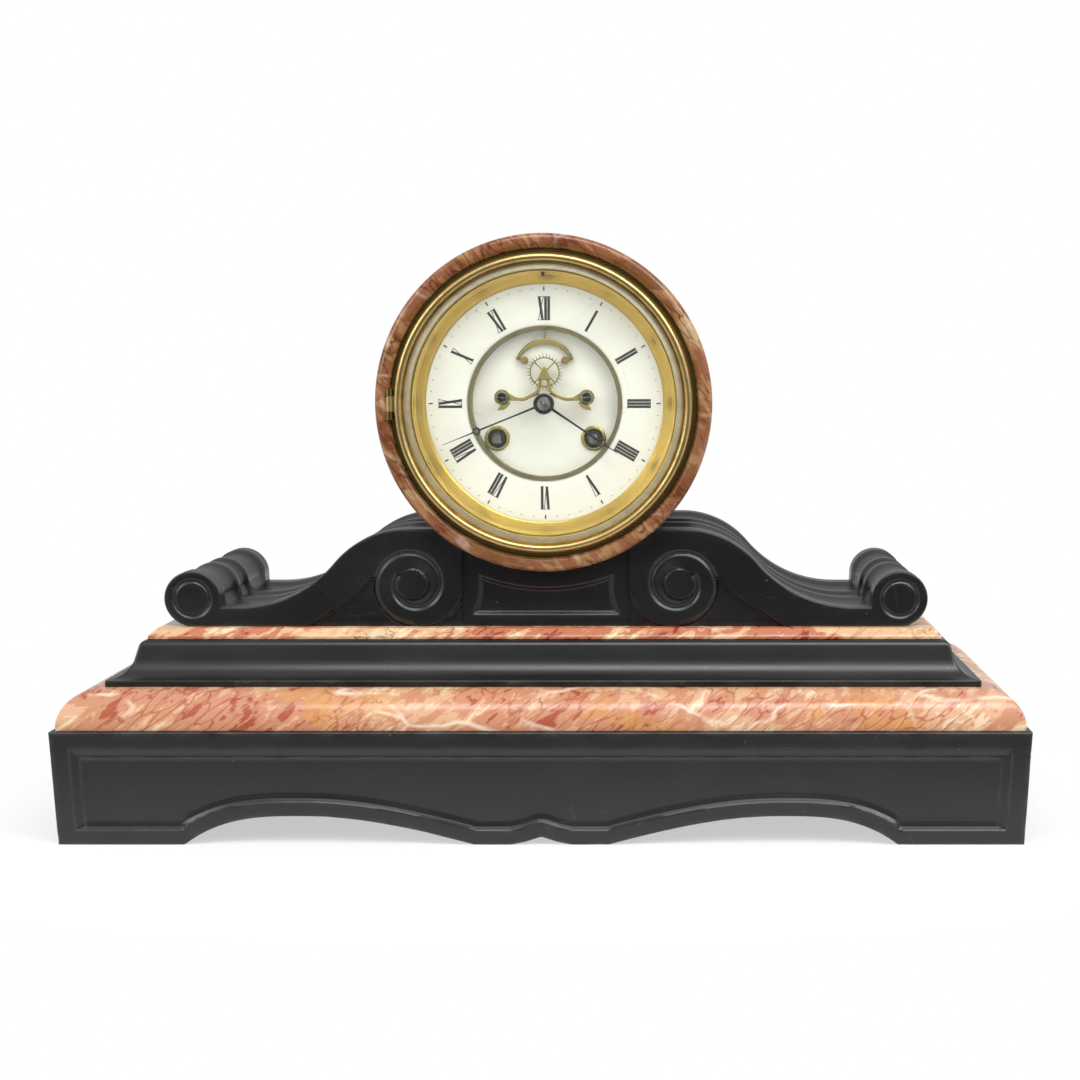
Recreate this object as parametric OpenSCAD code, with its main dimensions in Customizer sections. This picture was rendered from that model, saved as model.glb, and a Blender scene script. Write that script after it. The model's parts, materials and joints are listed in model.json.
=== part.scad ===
// Drumhead mantel clock in black slate and red marble, with a visible escapement.
// The origin is on the floor under the middle of the plinth: +X right, front towards -Y, +Z up.
// Dial and movement are drawn in the dial's own axes: x right, y up, z towards the viewer.

/* [Plinth] */
// Width across the top of the plinth
plinth_w = 489; // [470:1:520]
// Depth of the plinth
plinth_d = 168; // [160:1:190]
// Height of the plinth
plinth_h = 57; // [50:1:70]
// How far each end of the plinth leans in at the foot
plinth_batter = 3; // [1:0.5:6]
// Thickness of the plinth's slate slabs
slab_t = 20; // [14:1:24]
// Width of the outer foot on the front slab
foot_w = 61; // [45:1:70]
// Height of the cut-out between the feet
arch_h = 14.5; // [8:0.5:20]
// Distance of the cut-out's highest point from the middle
arch_peak_x = 121; // [100:1:140]
// Distance of the middle foot's outer ends from the middle
arch_end_x = 34; // [24:1:44]
// Height of the small point cut in the middle foot
cusp_h = 4; // [2:0.5:7]
// Depth of the sunk panel on the front
panel_sink = 1.5; // [0.5:0.25:3]

/* [Tiers] */
// How far the lower marble slab stands in from the plinth
slab_inset = 2.5; // [1:0.5:5]
// Height of the lower marble slab
lower_slab_h = 19; // [17:1:24]
// Radius of the rounded edge of the lower marble slab
lower_slab_r = 17.5; // [12:0.5:18]
// Height of the slate moulding
moulding_h = 21.5; // [19:0.5:24]
// Radius of the hollow in the slate moulding
moulding_r = 12.5; // [10:0.5:14]
// Height of the upper marble slab
upper_slab_h = 5.5; // [4.5:0.5:8]
// Slope cut on the upper marble slab's edge
upper_slab_bevel = 4.5; // [2:0.5:5]

/* [Scrolls] */
// Depth of the scroll block, which is flush with the plinth at the back
scroll_d = 119; // [110:1:130]
// Height of the scroll block
scroll_h = 50.8; // [46:0.2:56]
// Distance of the small volutes' axes from the middle
volute_x = 184; // [176:1:190]
// Radius of the small volutes
volute_r = 14.4; // [12:0.2:16]
// Where the sweep leaves the small volute, from the middle
sweep_low_x = 160; // [154:1:164]
// Height of the sweep's low end on the block
sweep_low_h = 10; // [8:0.5:12]
// Where the sweep reaches the top, from the middle
sweep_high_x = 72; // [68:1:78]
// Radius of the hollow part of the sweep
sweep_hollow_r = 66; // [56:1:70]
// Distance of the big volutes' centres from the middle
big_volute_x = 69.4; // [66:0.2:72]
// Radius of the big volutes
big_volute_r = 22; // [18:0.5:23]
// Depth of the hollows along the scrolls' upper side
flute_depth = 3; // [1:0.25:4]
// Distance of the joints between the scrolls and the middle block from the middle
scroll_joint_x = 43.5; // [40:0.5:46]
// Half width of the chamber that the pendulum swings in
chamber_half_w = 32; // [30:0.5:34]
// Half depth of that chamber
chamber_half_d = 13; // [11:0.5:14]

/* [Drum] */
// Outer radius of the drum
drum_r = 86; // [82:0.5:90]
// Thickness of the drum's wall
drum_wall = 16.8; // [16:0.1:19]
// How deep the drum's underside lies below the scroll block's top
drum_sink = 21.3; // [18:0.1:24]
// How far the drum stands proud of the scroll block
drum_proud = 9; // [4:0.5:14]
// Distance of the drum's back from the plinth's back
drum_back_gap = 6; // [5:0.5:12]
// Depth of the marble ring at the front of the drum
ring_d = 14; // [12:0.5:20]
// Radius of the marble ring's rounded edges
ring_round = 3; // [1:0.25:4]
// Width of the marble ring's face outside the recess that the bezel lies in
ring_face = 7.6; // [7:0.1:9]

/* [Bezel and glass] */
// Gap between the hinged bezel and its recess
bezel_gap = 1.9; // [1.7:0.1:2.4]
// Width of the bezel
bezel_w = 8.5; // [8:0.1:9]
// Radius of the bezel's bead
bead_r = 1.9; // [1.5:0.1:2.2]
// Thickness of the bevelled glass
glass_t = 2.2; // [1.8:0.1:2.8]
// How far the bezel laps over the glass
glass_lap = 3; // [2.5:0.1:3.2]
// Radius of the hinge knuckles
knuckle_r = 1.6; // [1.4:0.1:1.8]
// Radius of the hinge pins
hinge_pin_r = 0.8; // [0.6:0.05:0.9]

/* [Dial] */
// Width of the sloped gilt slip round the enamel chapter ring
slip_w = 6.5; // [6:0.1:7]
// Inner radius of the chapter ring
chapter_in_r = 38.6; // [38:0.1:39]
// Thickness of the chapter ring
chapter_t = 2; // [1.5:0.1:2.4]
// Depth of the sunk dial centre behind the chapter ring's face
centre_sink = 5; // [4.8:0.1:5.5]
// Radius of the brass band round the dial centre
band_r = 39.2; // [39:0.05:39.5]
// Thickness of the dial centre
centre_t = 1; // [0.8:0.1:1.2]
// Distance of the winding squares from the middle, sideways
winding_x = 24.9; // [24.4:0.1:26]
// Distance of the winding squares below the middle
winding_drop = 18; // [17:0.1:19]
// Width across the flats of the winding squares
winding_square = 4.4; // [4:0.1:4.6]
// Distance of the regulator's axis inside the gilt slip's outer edge
regulator_in = 1.8; // [1.5:0.1:2.1]

/* [Hands] */
// Distance of the minute hand's tip inside the chapter ring's edge
minute_tip_in = 4.8; // [3:0.1:8]
// Distance of the hour hand's tip inside the chapter ring's edge
hour_tip_in = 15.8; // [14:0.1:20]
// Clockwise angle of the minute hand from twelve at rest
minute_angle = 248; // [0:1:359]
// Clockwise angle of the hour hand from twelve at rest
hour_angle = 124; // [0:1:359]
// Thickness of the hands
hand_t = 0.6; // [0.5:0.05:0.7]

/* [Movement] */
// Radius of the movement plates
plate_r = 52; // [51.5:0.5:54]
// Thickness of the movement plates
plate_t = 2; // [1.8:0.1:2.2]
// Clear distance between the plates
plate_gap = 32; // [32:0.5:36]
// Distance from the front plate to the back of the dial centre
motion_gap = 8; // [7.6:0.1:10]
// Radius of the pillars between the plates
pillar_r = 2.5; // [2:0.1:2.8]
// Radius of the spring barrels
barrel_r = 18; // [17:0.1:18.2]
// Depth of the spring barrels
barrel_d = 15; // [14:0.5:15]
// Module of the barrel teeth
barrel_m = 0.40; // [0.39:0.01:0.4]
// Radial play of every pivot in its hole
pivot_play = 0.08; // [0.05:0.01:0.1]
// Number of teeth on the escape wheel
escape_teeth = 30; // [30:30:30]
// Radius of the escape wheel over its teeth
escape_r = 9.8; // [9.6:0.05:9.85]
// Height of the escape wheel's axis above the middle
escape_y = 16; // [16:0.05:16.3]
// Height of the anchor's and the pendulum's axis above the middle
anchor_y = 41; // [40.8:0.05:41.2]
// Radius of the jewelled pallets
pallet_r = 0.55; // [0.5:0.01:0.56]
// Radial play between a pallet and the escape wheel's tips at mid-swing
pallet_play = 0.14; // [0.12:0.01:0.2]

/* [Pendulum and bell] */
// Length of the pendulum from its axis to the middle of the bob
pendulum_len = 127; // [122:0.5:130]
// Radius of the bob
bob_r = 16; // [13:0.5:16.5]
// Thickness of the bob
bob_t = 9; // [7:0.5:10]
// Gap between the bell and the drum's bore
bell_gap = 8.4; // [6:0.1:10]
// Thickness of the bell's wall
bell_t = 1.4; // [1:0.1:2]

/* [Hidden] */
$fn = 64;
e = 0.01;

slate = "#303133";
marble = "#c9785a";
dark_marble = "#a5624a";
brass = "#c9a544";
steel = "#5a5a5c";
enamel = "#ecebe0";
blued = "#2b2d33";

// Sunk panels: distances of their edges from what is round them
panel_side = 14;
panel_top = 10.5;
panel_foot = 9.2;
panel_arch = 7.8;
block_panel_foot = 6.5;
block_panel_drum = 11;
block_panel_volute = 6;
spandrel_sink = 2;
groove_sink = 1;
seat_play = 0.1;

// Heights of the case, from the floor
lower_z = plinth_h;
moulding_z = lower_z + lower_slab_h;
upper_z = moulding_z + moulding_h;
block_z = upper_z + upper_slab_h;
scroll_top = block_z + scroll_h;
drum_z = scroll_top + drum_r - drum_sink;

// Setbacks of each tier's front and ends from the plinth, at its foot and its top
moulding_inset = slab_inset + lower_slab_r + 2;
moulding_foot = 3.2;
moulding_round = 3.8;
moulding_fillet = 0.8;
moulding_top_in = moulding_r + 5;
upper_inset = moulding_inset + moulding_top_in;
back_y = plinth_d/2;
scroll_front = back_y - scroll_d;
drum_front_y = scroll_front - drum_proud;
drum_back_y = back_y - drum_back_gap;

// The drum and the round parts in its front, from the outside in
drum_bore_r = drum_r - drum_wall;
recess_r = drum_r - ring_face;
bezel_r = recess_r - bezel_gap;
bezel_open_r = bezel_r - bezel_w;
glass_r = bezel_open_r + glass_lap;
slip_r = bezel_open_r - 0.5;
chapter_r = slip_r - slip_w;
regulator_y = slip_r - regulator_in;
minute_len = chapter_r - minute_tip_in;
hour_len = chapter_r - hour_tip_in;
pan_tube_r = slip_r + 0.1;
pan_tube_t = 1.3;
pan_floor_r = plate_r - 6;
pan_foot_at = plate_r - 3.4;
pan_foot_r = 1.8;

// Front and back of the drum in the dial's axes
face_z = -drum_front_y;
rear_z = -drum_back_y;

// Depths of the dial and the movement, in the dial's axes
pan_flange_z = face_z - 4.5;
pan_t = 1.5;
bezel_z = pan_flange_z + pan_t + 0.3;
glass_z = face_z - 1.1;
chapter_z = face_z - 11;
centre_z = chapter_z - centre_sink;
pan_floor_z = chapter_z - chapter_t - pan_t;
front_plate_z = centre_z - centre_t - motion_gap;
gap_front_z = front_plate_z - plate_t;
gap_back_z = gap_front_z - plate_gap;
back_plate_z = gap_back_z - plate_t;
bridge_z = chapter_z + 1.5;
hour_hand_z = bridge_z + 3.3;
minute_hand_z = hour_hand_z + hand_t + 1.2;
anchor_z = centre_z + 0.9;
anchor_t = 1.4;
escape_z = anchor_z + anchor_t + 1.1;
escape_t = 0.8;
pendulum_z = back_plate_z - 7;

// Axes of the trains on the plates
// Where a wheel stands that is a from point p and b from point q, on the left of the way from p to q
function meet(p, q, a, b) = let (d = norm(q - p), u = (q - p)/d, t = (a*a - b*b + d*d)/(2*d),
  h = sqrt(a*a - t*t)) p + t*u + h*[-u[1], u[0]];
function apart(n1, n2, m) = (n1 + n2)*m/2;
function heading(p, q) = atan2(q[1] - p[1], q[0] - p[0]);

centre_p = [0, 0];
escape_p = [0, escape_y];
anchor_p = [0, anchor_y];
going_p = [winding_x, -winding_drop];
strike_p = [-winding_x, -winding_drop];
barrel_n = 96;
slow_pinion_n = 12;
inter_n = 72;
inter_m = 0.38;
centre_n = 96;
centre_m = 0.30;
third_pinion_n = 8;
third_n = 84;
third_m = 0.30;
escape_pinion_n = 6;
cannon_n = 12;
minute_n = 36;
cannon_m = 0.50;
minute_pinion_n = 10;
hour_n = 40;
hour_m = apart(cannon_n, minute_n, cannon_m)*2/(minute_pinion_n + hour_n);
second_n = 90;
second_m = 0.29;
pin_pinion_n = 10;
pin_n = 60;
pin_m = 0.36;
lock_pinion_n = 6;
lock_n = 60;
lock_m = 0.30;
fly_pinion_n = 6;
inter_p = meet(going_p, centre_p, apart(barrel_n, slow_pinion_n, barrel_m),
  apart(inter_n, slow_pinion_n, inter_m));
third_p = meet(escape_p, centre_p, apart(third_n, escape_pinion_n, third_m),
  apart(centre_n, third_pinion_n, centre_m));
minute_p = [0, -apart(cannon_n, minute_n, cannon_m)];
second_p = strike_p + apart(barrel_n, slow_pinion_n, barrel_m)*[-sin(5.6), cos(5.6)];
pin_p = second_p + apart(second_n, pin_pinion_n, second_m)*[sin(27), cos(27)];
lock_p = pin_p + apart(pin_n, lock_pinion_n, pin_m)*[sin(40), cos(40)];
fly_p = lock_p + apart(lock_n, fly_pinion_n, lock_m)*[sin(53), cos(53)];
hammer_p = [-34.5, 27.5];

// Radii of arbors, pivots and studs, and the sizes of the one kind of screw
thin_pivot_r = 0.4;
pivot_r = 0.6;
count_pivot_r = 0.75;
escape_arbor_r = 0.5;
anchor_arbor_r = 0.8;
centre_arbor_r = 1.2;
hammer_arbor_r = 1.1;
rear_arbor_r = 2.2;
front_square_r = 2.6;
barrel_arbor_r = 3;
regulator_r = 1.2;
cannon_r = 2;
hour_pipe_r = 3;
click_stud_r = 0.8;
minute_stud_r = 1;
crutch_w = 2.4;
screw_r = 1.15;
screw_hole_r = 1.25;
screw_head_r = 2.4;
screw_head_t = 1.3;
screw_len = 2.8;
bridge_t = 1.2;
cock_t = 2.2;
cock_screws = [[-7, 49], [7, 49]];

bell_p = [-24, -14];
bell_r = drum_bore_r - norm(bell_p) - bell_gap;
pillar_at = [[0, -46], [44, 14], [-44.5, 13], [23, 40.5], [-23, 41]];
regulator_p = [0, regulator_y];
bridge_x = 21.7;
bridge_y = 3.2;
ratchet_n = 24;
ratchet_r = 8;
click_arm = 12.5;
click_up = ratchet_r + 1;
strap_x = drum_bore_r - 3.4;
strap_screw_x = drum_bore_r - 6;
strap_foot_w = 6.8;
strap_w = 10;
strap_t = 1.2;
mid_knuckle = 8;
side_knuckle = 3.8;
knuckle_at = 6.1;
door_knuckle_r = 1.4;
sound_hole_r = 4;
hinge_x = -bezel_r - knuckle_r;
hinge_z = face_z + 0.4;
door_r = drum_bore_r - 2;
door_hinge_x = -door_r - 4;
door_hinge_z = rear_z - 3.7;
back_ring_t = 2;
door_t = 1.5;
door_z = rear_z - back_ring_t - door_t - 0.3;

// Depths of the wheels and pinions behind the front plate
function layer(d) = gap_front_z - d;
centre_layer = 3;
third_pinion_layer = 5;
slow_layer = 7;
pin_pinion_layer = 8;
centre_pinion_layer = 9;
pin_layer = 12;
barrel_layer = 13;
lock_pinion_layer = 13;
slow_pinion_layer = 13.6;
fly_layer = 15;
lock_layer = 20;
fly_pinion_layer = 21;

// Puts what is drawn in the dial's axes in its place on the drum
module at_dial() translate([0, 0, drum_z]) rotate([90, 0, 0]) children();
module rod(p, r, z0, z1) translate([p[0], p[1], z0]) cylinder(h = z1 - z0, r = r);
// A rod parallel to the hinges
module upright(x, y, z, r, len) translate([x, y, z]) rotate([90, 0, 0])
  cylinder(h = len, r = r, center = true);
module band(ro, ri, z0, z1) translate([0, 0, z0]) difference() {
  cylinder(h = z1 - z0, r = ro);
  translate([0, 0, -1]) cylinder(h = z1 - z0 + 2, r = ri);
}
module plate(z0, t) translate([0, 0, z0]) linear_extrude(t) children();

// Outline of a toothed wheel. Widths are shares of the pitch at root, pitch circle and tip.
function teeth(n, m, tip, root, wr, wp, wt) = let (r = n*m/2)
  [for (i = [0:n - 1]) for (k = [[r - root, -wr], [r, -wp], [r + tip, -wt], [r + tip, wt],
    [r, wp], [r - root, wr]]) let (a = 360*(i + k[1]/2)/n) k[0]*[cos(a), sin(a)]];
module wheel_teeth(n, m) polygon(teeth(n, m, 0.8*m, 1.25*m, 0.5, 0.4, 0.12));
module leaves(n, m) polygon(teeth(n, m, 0.65*m, 1.25*m, 0.26, 0.34, 0.16));

// A wheel with crossings, a tooth pointing along the heading given
module wheel(p, n, m, turn, z0, t, arms, hub_r, bore = 0) translate([p[0], p[1], z0])
  linear_extrude(t) rotate(turn) difference() {
    wheel_teeth(n, m);
    crossings(n*m/2 - 3.4*m - 0.6, hub_r, arms);
    if (bore > 0) circle(bore);
  }
// The gaps between a wheel's spokes
module crossings(rim, hub_r, arms) if (arms > 0) difference() {
  circle(rim);
  circle(hub_r);
  for (i = [0:arms - 1]) rotate(360*(i + 0.5)/arms) translate([0, -0.06*rim])
    square([rim + 1, 0.12*rim]);
}
// A pinion with a gap between its leaves along the heading given
module pinion(p, n, m, turn, z0, t) translate([p[0], p[1], z0])
  linear_extrude(t) rotate(turn + 180/n) leaves(n, m);

// Outline of the plinth's front with the cut-out between its feet, raised by a margin
function arch(lift) = let (f = plinth_w/2 - plinth_batter - foot_w, p = arch_peak_x, n = 10) concat(
  [for (i = [0:n]) let (t = 1 - i/n) [-p - (f - p - lift*0.3)*t, lift + arch_h*(1 - pow(t, 3))]],
  [for (i = [1:n]) let (t = i/n) [-p + (p - arch_end_x)*t, lift + arch_h*cos(90*t)]],
  [[-0.45*arch_end_x, lift], [-0.24*arch_end_x, lift + 0.35*cusp_h], [0, lift + cusp_h]]);
function mirrored(pts) = concat(pts, [for (i = [len(pts) - 2:-1:0]) [-pts[i][0], pts[i][1]]]);

module plinth_front() color(slate) difference() {
  translate([0, -back_y + slab_t, 0]) rotate([90, 0, 0]) linear_extrude(slab_t) difference() {
    plinth_outline(0);
    translate([0, -e]) polygon(mirrored(arch(0)));
  }
  translate([0, -back_y + panel_sink, 0]) rotate([90, 0, 0]) linear_extrude(slab_t)
    intersection() {
      plinth_outline(panel_side);
      polygon(concat([[-plinth_w, plinth_h - panel_top], [-plinth_w, panel_foot]],
        mirrored(arch(panel_arch)), [[plinth_w, panel_foot], [plinth_w, plinth_h - panel_top]]));
    }
}
// The battered front outline, drawn in from the ends
module plinth_outline(inset) polygon([[-plinth_w/2 + plinth_batter + inset, 0],
  [plinth_w/2 - plinth_batter - inset, 0], [plinth_w/2 - inset, plinth_h],
  [-plinth_w/2 + inset, plinth_h]]);
module plinth_side() color(slate) translate([0, back_y - slab_t, 0]) rotate([90, 0, 0])
  linear_extrude(plinth_d - 2*slab_t) polygon([[-plinth_w/2 + plinth_batter, 0],
    [-plinth_w/2 + plinth_batter + slab_t, 0], [-plinth_w/2 + slab_t, plinth_h],
    [-plinth_w/2, plinth_h]]);
module plinth_left_side() plinth_side();
module plinth_right_side() mirror([1, 0, 0]) plinth_side();
module plinth_back() color(slate) translate([0, back_y, 0]) rotate([90, 0, 0])
  linear_extrude(slab_t) plinth_outline(0);

module slab_profile(h, r, len) {
  translate([-len, 0]) square([len - r, h]);
  translate([-len, 0]) square([len, h - r]);
  translate([-r, h - r]) circle(r);
}
// A tier with its children's profile on its front and both ends, mitred at the corners and flush
// at the back. The profile has its outer edge at x = 0 and its body towards -x.
module moulded(inset, z0, h) {
  half_w = plinth_w/2 - inset;
  front = -back_y + inset;
  intersection() {
    translate([0, back_y, z0]) rotate([90, 0, 0]) linear_extrude(plinth_d)
      translate([half_w, 0]) children();
    translate([0, back_y, z0]) rotate([90, 0, 0]) linear_extrude(plinth_d)
      mirror([1, 0]) translate([half_w, 0]) children();
    translate([-plinth_w, 0, z0]) rotate([90, 0, 90]) linear_extrude(2*plinth_w)
      intersection() {
        translate([front, 0]) mirror([1, 0]) children();
        translate([front, 0]) square([back_y - front, h]);
      }
  }
}
module lower_marble_slab() color(marble) moulded(slab_inset, lower_z, lower_slab_h)
  intersection() {
    slab_profile(lower_slab_h, lower_slab_r, plinth_w);
    translate([-plinth_w, 0]) square([plinth_w, lower_slab_h]);
  }
module slate_moulding() color(slate) moulded(moulding_inset, moulding_z, moulding_h)
  difference() {
    translate([-plinth_w, 0]) square([plinth_w, moulding_h]);
    translate([0, moulding_foot + moulding_r]) circle(moulding_r);
    translate([-moulding_r, moulding_foot + moulding_r]) square([moulding_r + 1, moulding_h]);
    translate([-moulding_top_in + moulding_round - moulding_fillet,
      moulding_h - moulding_round - moulding_fillet]) square([moulding_r, moulding_fillet]);
    translate([-moulding_top_in, moulding_h - moulding_round]) difference() {
      square([moulding_top_in + 1, moulding_round + 1]);
      circle(moulding_round);
    }
  }
module upper_marble_slab() color(marble) moulded(upper_inset, upper_z, upper_slab_h)
  polygon([[0, 0], [0, 2.2], [-upper_slab_bevel, upper_slab_h], [-plinth_w, upper_slab_h],
    [-plinth_w, 0]]);

// Height of the sweep between the small volute and the top, cut in by a flute's depth
sweep_a = 2*atan((scroll_h - sweep_low_h)/(sweep_low_x - sweep_high_x));
sweep_round_r = (sweep_low_x - sweep_high_x)/sin(sweep_a) - sweep_hollow_r;
function sweep(cut) = let (n = 10, y1 = block_z + sweep_low_h, y2 = scroll_top) concat(
  [for (i = [0:n]) let (a = sweep_a*i/n, r = sweep_hollow_r + cut)
    [-sweep_low_x + r*sin(a), y1 + sweep_hollow_r - r*cos(a)]],
  [for (i = [n:-1:0]) let (a = sweep_a*i/n, r = sweep_round_r - cut)
    [-sweep_high_x - r*sin(a), y2 - sweep_round_r + r*cos(a)]]);
module scroll_outline(cut) {
  polygon(concat([[-volute_x, block_z], [-volute_x, block_z + sweep_low_h - cut]], sweep(cut),
    [[-scroll_joint_x, scroll_top - cut], [-scroll_joint_x, block_z]]));
}
// Depth of the flutes along the block: flat band, hollow, bead, hollow, bead, hollow, flat band
flutes = [[0, 10, 0], [10, 14, 0.6], [14, 34, 1], [34, 38, 0.6], [38, 42, 0.15], [42, 46, 0.6],
  [46, 54, 0.9], [54, 58, 0.6], [58, 62, 0.15], [62, 66, 0.6], [66, 85, 1], [85, 89, 0.6],
  [89, 100, 0]];
module drum_seat() at_dial() rod(centre_p, drum_r + seat_play, -back_y - 1, back_y + 1);
module scroll() difference() {
  union() {
    for (f = flutes) translate([0, scroll_front + scroll_d*f[1]/100, 0]) rotate([90, 0, 0])
      linear_extrude(scroll_d*(f[1] - f[0])/100) scroll_outline(flute_depth*f[2]);
    for (f = flutes) translate([-volute_x, scroll_front + scroll_d*f[1]/100, block_z + volute_r])
      rotate([90, 0, 0]) cylinder(h = scroll_d*(f[1] - f[0])/100, r = volute_r - flute_depth*f[2]);
  }
  drum_seat();
  sunk(groove_sink) translate([-volute_x, block_z + volute_r]) groove(volute_r, [0.58, 0.5]);
  sunk(groove_sink) translate([-big_volute_x, block_z + big_volute_r]) {
    groove(big_volute_r, [0.83, 0.77]);
    groove(big_volute_r, [0.5, 0.44]);
  }
  sunk(spandrel_sink) translate([-big_volute_x, block_z + big_volute_r]) difference() {
    polygon([for (p = spandrel) big_volute_r*p]);
    circle(big_volute_r);
  }
}
// The hollow in front of the big volute, in radii of the volute from its centre
spandrel = [[-2.57, -1.05], [-1.98, -0.66], [-1.56, -0.39], [-1.12, 0], [0, 0], [0, -1.05]];
// Cuts an outline into the front of the scrolls and the block between them
module sunk(depth) translate([0, scroll_front + depth, 0]) rotate([90, 0, 0])
  linear_extrude(depth + 1) children();
module groove(r, shares) difference() {
  circle(r*shares[0]);
  circle(r*shares[1]);
}
module left_scroll() color(slate) scroll();
module right_scroll() color(slate) mirror([1, 0, 0]) scroll();
module scroll_block() color(slate) difference() {
  translate([-scroll_joint_x, scroll_front, block_z]) cube([2*scroll_joint_x, scroll_d, scroll_h]);
  drum_seat();
  translate([-chamber_half_w, -pendulum_z - chamber_half_d, block_z - 1])
    cube([2*chamber_half_w, 2*chamber_half_d, scroll_h + 2]);
  sunk(panel_sink) difference() {
    translate([-scroll_joint_x - 1, block_z + block_panel_foot])
      square([2*scroll_joint_x + 2, scroll_h]);
    translate([0, drum_z]) circle(drum_r + block_panel_drum);
    for (s = [-1, 1]) translate([s*big_volute_x, block_z + big_volute_r])
      circle(big_volute_r + block_panel_volute);
  }
}

module drum_body() color(slate) difference() {
  at_dial() band(drum_r, drum_bore_r, rear_z, face_z - ring_d);
  translate([-chamber_half_w + 2, -pendulum_z - chamber_half_d + 1, block_z])
    cube([2*chamber_half_w - 4, 2*chamber_half_d - 2, drum_z - block_z]);
}
module drum_front_ring() color(dark_marble) at_dial() difference() {
  rotate_extrude() difference() {
    translate([drum_bore_r, face_z - ring_d]) square([drum_r - drum_bore_r, ring_d]);
    translate([drum_bore_r - 1, pan_flange_z]) square([recess_r - drum_bore_r + 1, ring_d]);
    translate([drum_r - ring_round, face_z - ring_round]) difference() {
      square(ring_round + 1);
      circle(ring_round);
    }
    translate([recess_r + ring_round, face_z - ring_round]) difference() {
      translate([-ring_round - 1, 0]) square(ring_round + 1);
      circle(ring_round);
    }
  }
  translate([hinge_x - 2.2*knuckle_r, -9, hinge_z - 2]) cube([4*knuckle_r, 18, 9]);
}

module dial_pan() color(brass) at_dial() difference() {
  union() {
    rotate_extrude() {
      translate([pan_tube_r, pan_flange_z]) square([recess_r - 0.3 - pan_tube_r, pan_t]);
      translate([pan_tube_r, pan_floor_z]) square([pan_tube_t, pan_flange_z - pan_floor_z + e]);
      translate([pan_floor_r, pan_floor_z]) square([pan_tube_r + 0.6 - pan_floor_r, pan_t]);
    }
    for (a = [40, 140, 250, 290])
      rod(pan_foot_at*[cos(a), sin(a)], pan_foot_r, front_plate_z, pan_floor_z + 0.5);
    for (s = [-1, 1]) {
      upright(hinge_x, s*knuckle_at, hinge_z, knuckle_r, side_knuckle);
      translate([hinge_x + 0.2, s*knuckle_at - side_knuckle/2, pan_flange_z + 0.2])
        cube([0.8, side_knuckle, hinge_z - pan_flange_z - hinge_pin_r - 0.3]);
    }
  }
  upright(hinge_x, 0, hinge_z, hinge_pin_r + pivot_play, 3*mid_knuckle);
  rod(regulator_p, regulator_r + 0.4, pan_floor_z - 1, pan_flange_z + 1);
}
module bezel() color(brass) at_dial() difference() {
  union() {
    rotate_extrude() {
      difference() {
        polygon([[bezel_open_r, bezel_z], [bezel_r, bezel_z], [bezel_r, bezel_z + 0.8],
          [bezel_r - 2.2, face_z + 1.6], [bezel_r - 5.4, face_z + 1.4],
          [bezel_open_r, glass_z - 0.6]]);
        translate([bezel_open_r - 1, glass_z]) square([glass_r - bezel_open_r + 1.05, glass_t + 3]);
      }
      translate([bezel_r - 2.6, face_z + 1.1]) circle(bead_r);
    }
    upright(hinge_x, 0, hinge_z, knuckle_r, mid_knuckle);
    translate([hinge_x + 0.3, -mid_knuckle/2, hinge_z - 1.2])
      cube([knuckle_r + 0.9, mid_knuckle, 1.6]);
  }
  upright(hinge_x, 0, hinge_z, hinge_pin_r + pivot_play, 3*mid_knuckle);
}
module bezel_glass() color([0.8, 0.9, 0.95, 0.35]) at_dial() rotate_extrude()
  polygon([[0, glass_z], [glass_r, glass_z], [glass_r, glass_z + 1],
    [bezel_open_r, glass_z + glass_t], [0, glass_z + glass_t]]);
module hinge_pins() color(steel) at_dial() {
  upright(hinge_x, 0, hinge_z, hinge_pin_r, 2*mid_knuckle);
  upright(door_hinge_x, 0, door_hinge_z, hinge_pin_r, 2*mid_knuckle);
}
module gilt_slip() color(brass) at_dial() difference() {
  rotate_extrude() polygon([[chapter_r + 0.1, chapter_z - chapter_t + 0.1],
    [slip_r, chapter_z - chapter_t + 0.1], [slip_r, pan_flange_z + pan_t - 0.6],
    [slip_r - 0.7, pan_flange_z + pan_t - 0.6], [chapter_r + 0.1, chapter_z + 0.6]]);
  rod(regulator_p, regulator_r + 0.3, pan_floor_z, face_z);
}
module chapter_ring() color(enamel) at_dial() rotate_extrude()
  polygon([[chapter_in_r + 1.1, chapter_z - chapter_t], [chapter_r, chapter_z - chapter_t],
    [chapter_r, chapter_z - 0.4], [chapter_r - 4, chapter_z], [chapter_in_r + 5, chapter_z],
    [chapter_in_r + 1.1, chapter_z - 0.5]]);
module dial_centre_band() color(brass) at_dial() difference() {
  band(band_r + 0.4, band_r - 1.6, centre_z - centre_t, chapter_z + 0.3);
  translate([-8, 20, anchor_z - 0.6]) cube([16, 30, anchor_t + 1.2]);
}
module dial_centre() color(enamel) at_dial() difference() {
  plate(centre_z - centre_t, centre_t) circle(band_r - 1.7);
  for (p = [going_p, strike_p]) rod(p, 5, centre_z - 5, centre_z + 5);
  rod(centre_p, 4.2, centre_z - 5, centre_z + 5);
  rod(escape_p, 1.3, centre_z - 5, centre_z + 5);
  for (s = [-1, 1]) rod([s*bridge_x, bridge_y], 2.1, centre_z - 5, centre_z + 5);
}
module winding_collets() color(brass) at_dial() for (p = [going_p, strike_p])
  translate([p[0], p[1], 0]) rotate_extrude() polygon([[3.9, centre_z - centre_t],
    [4.9, centre_z - centre_t], [4.9, centre_z + 0.02], [6.5, centre_z + 0.02],
    [6.2, centre_z + 0.9], [4.6, centre_z + 1.1], [3.9, centre_z + 0.4]]);

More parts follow.
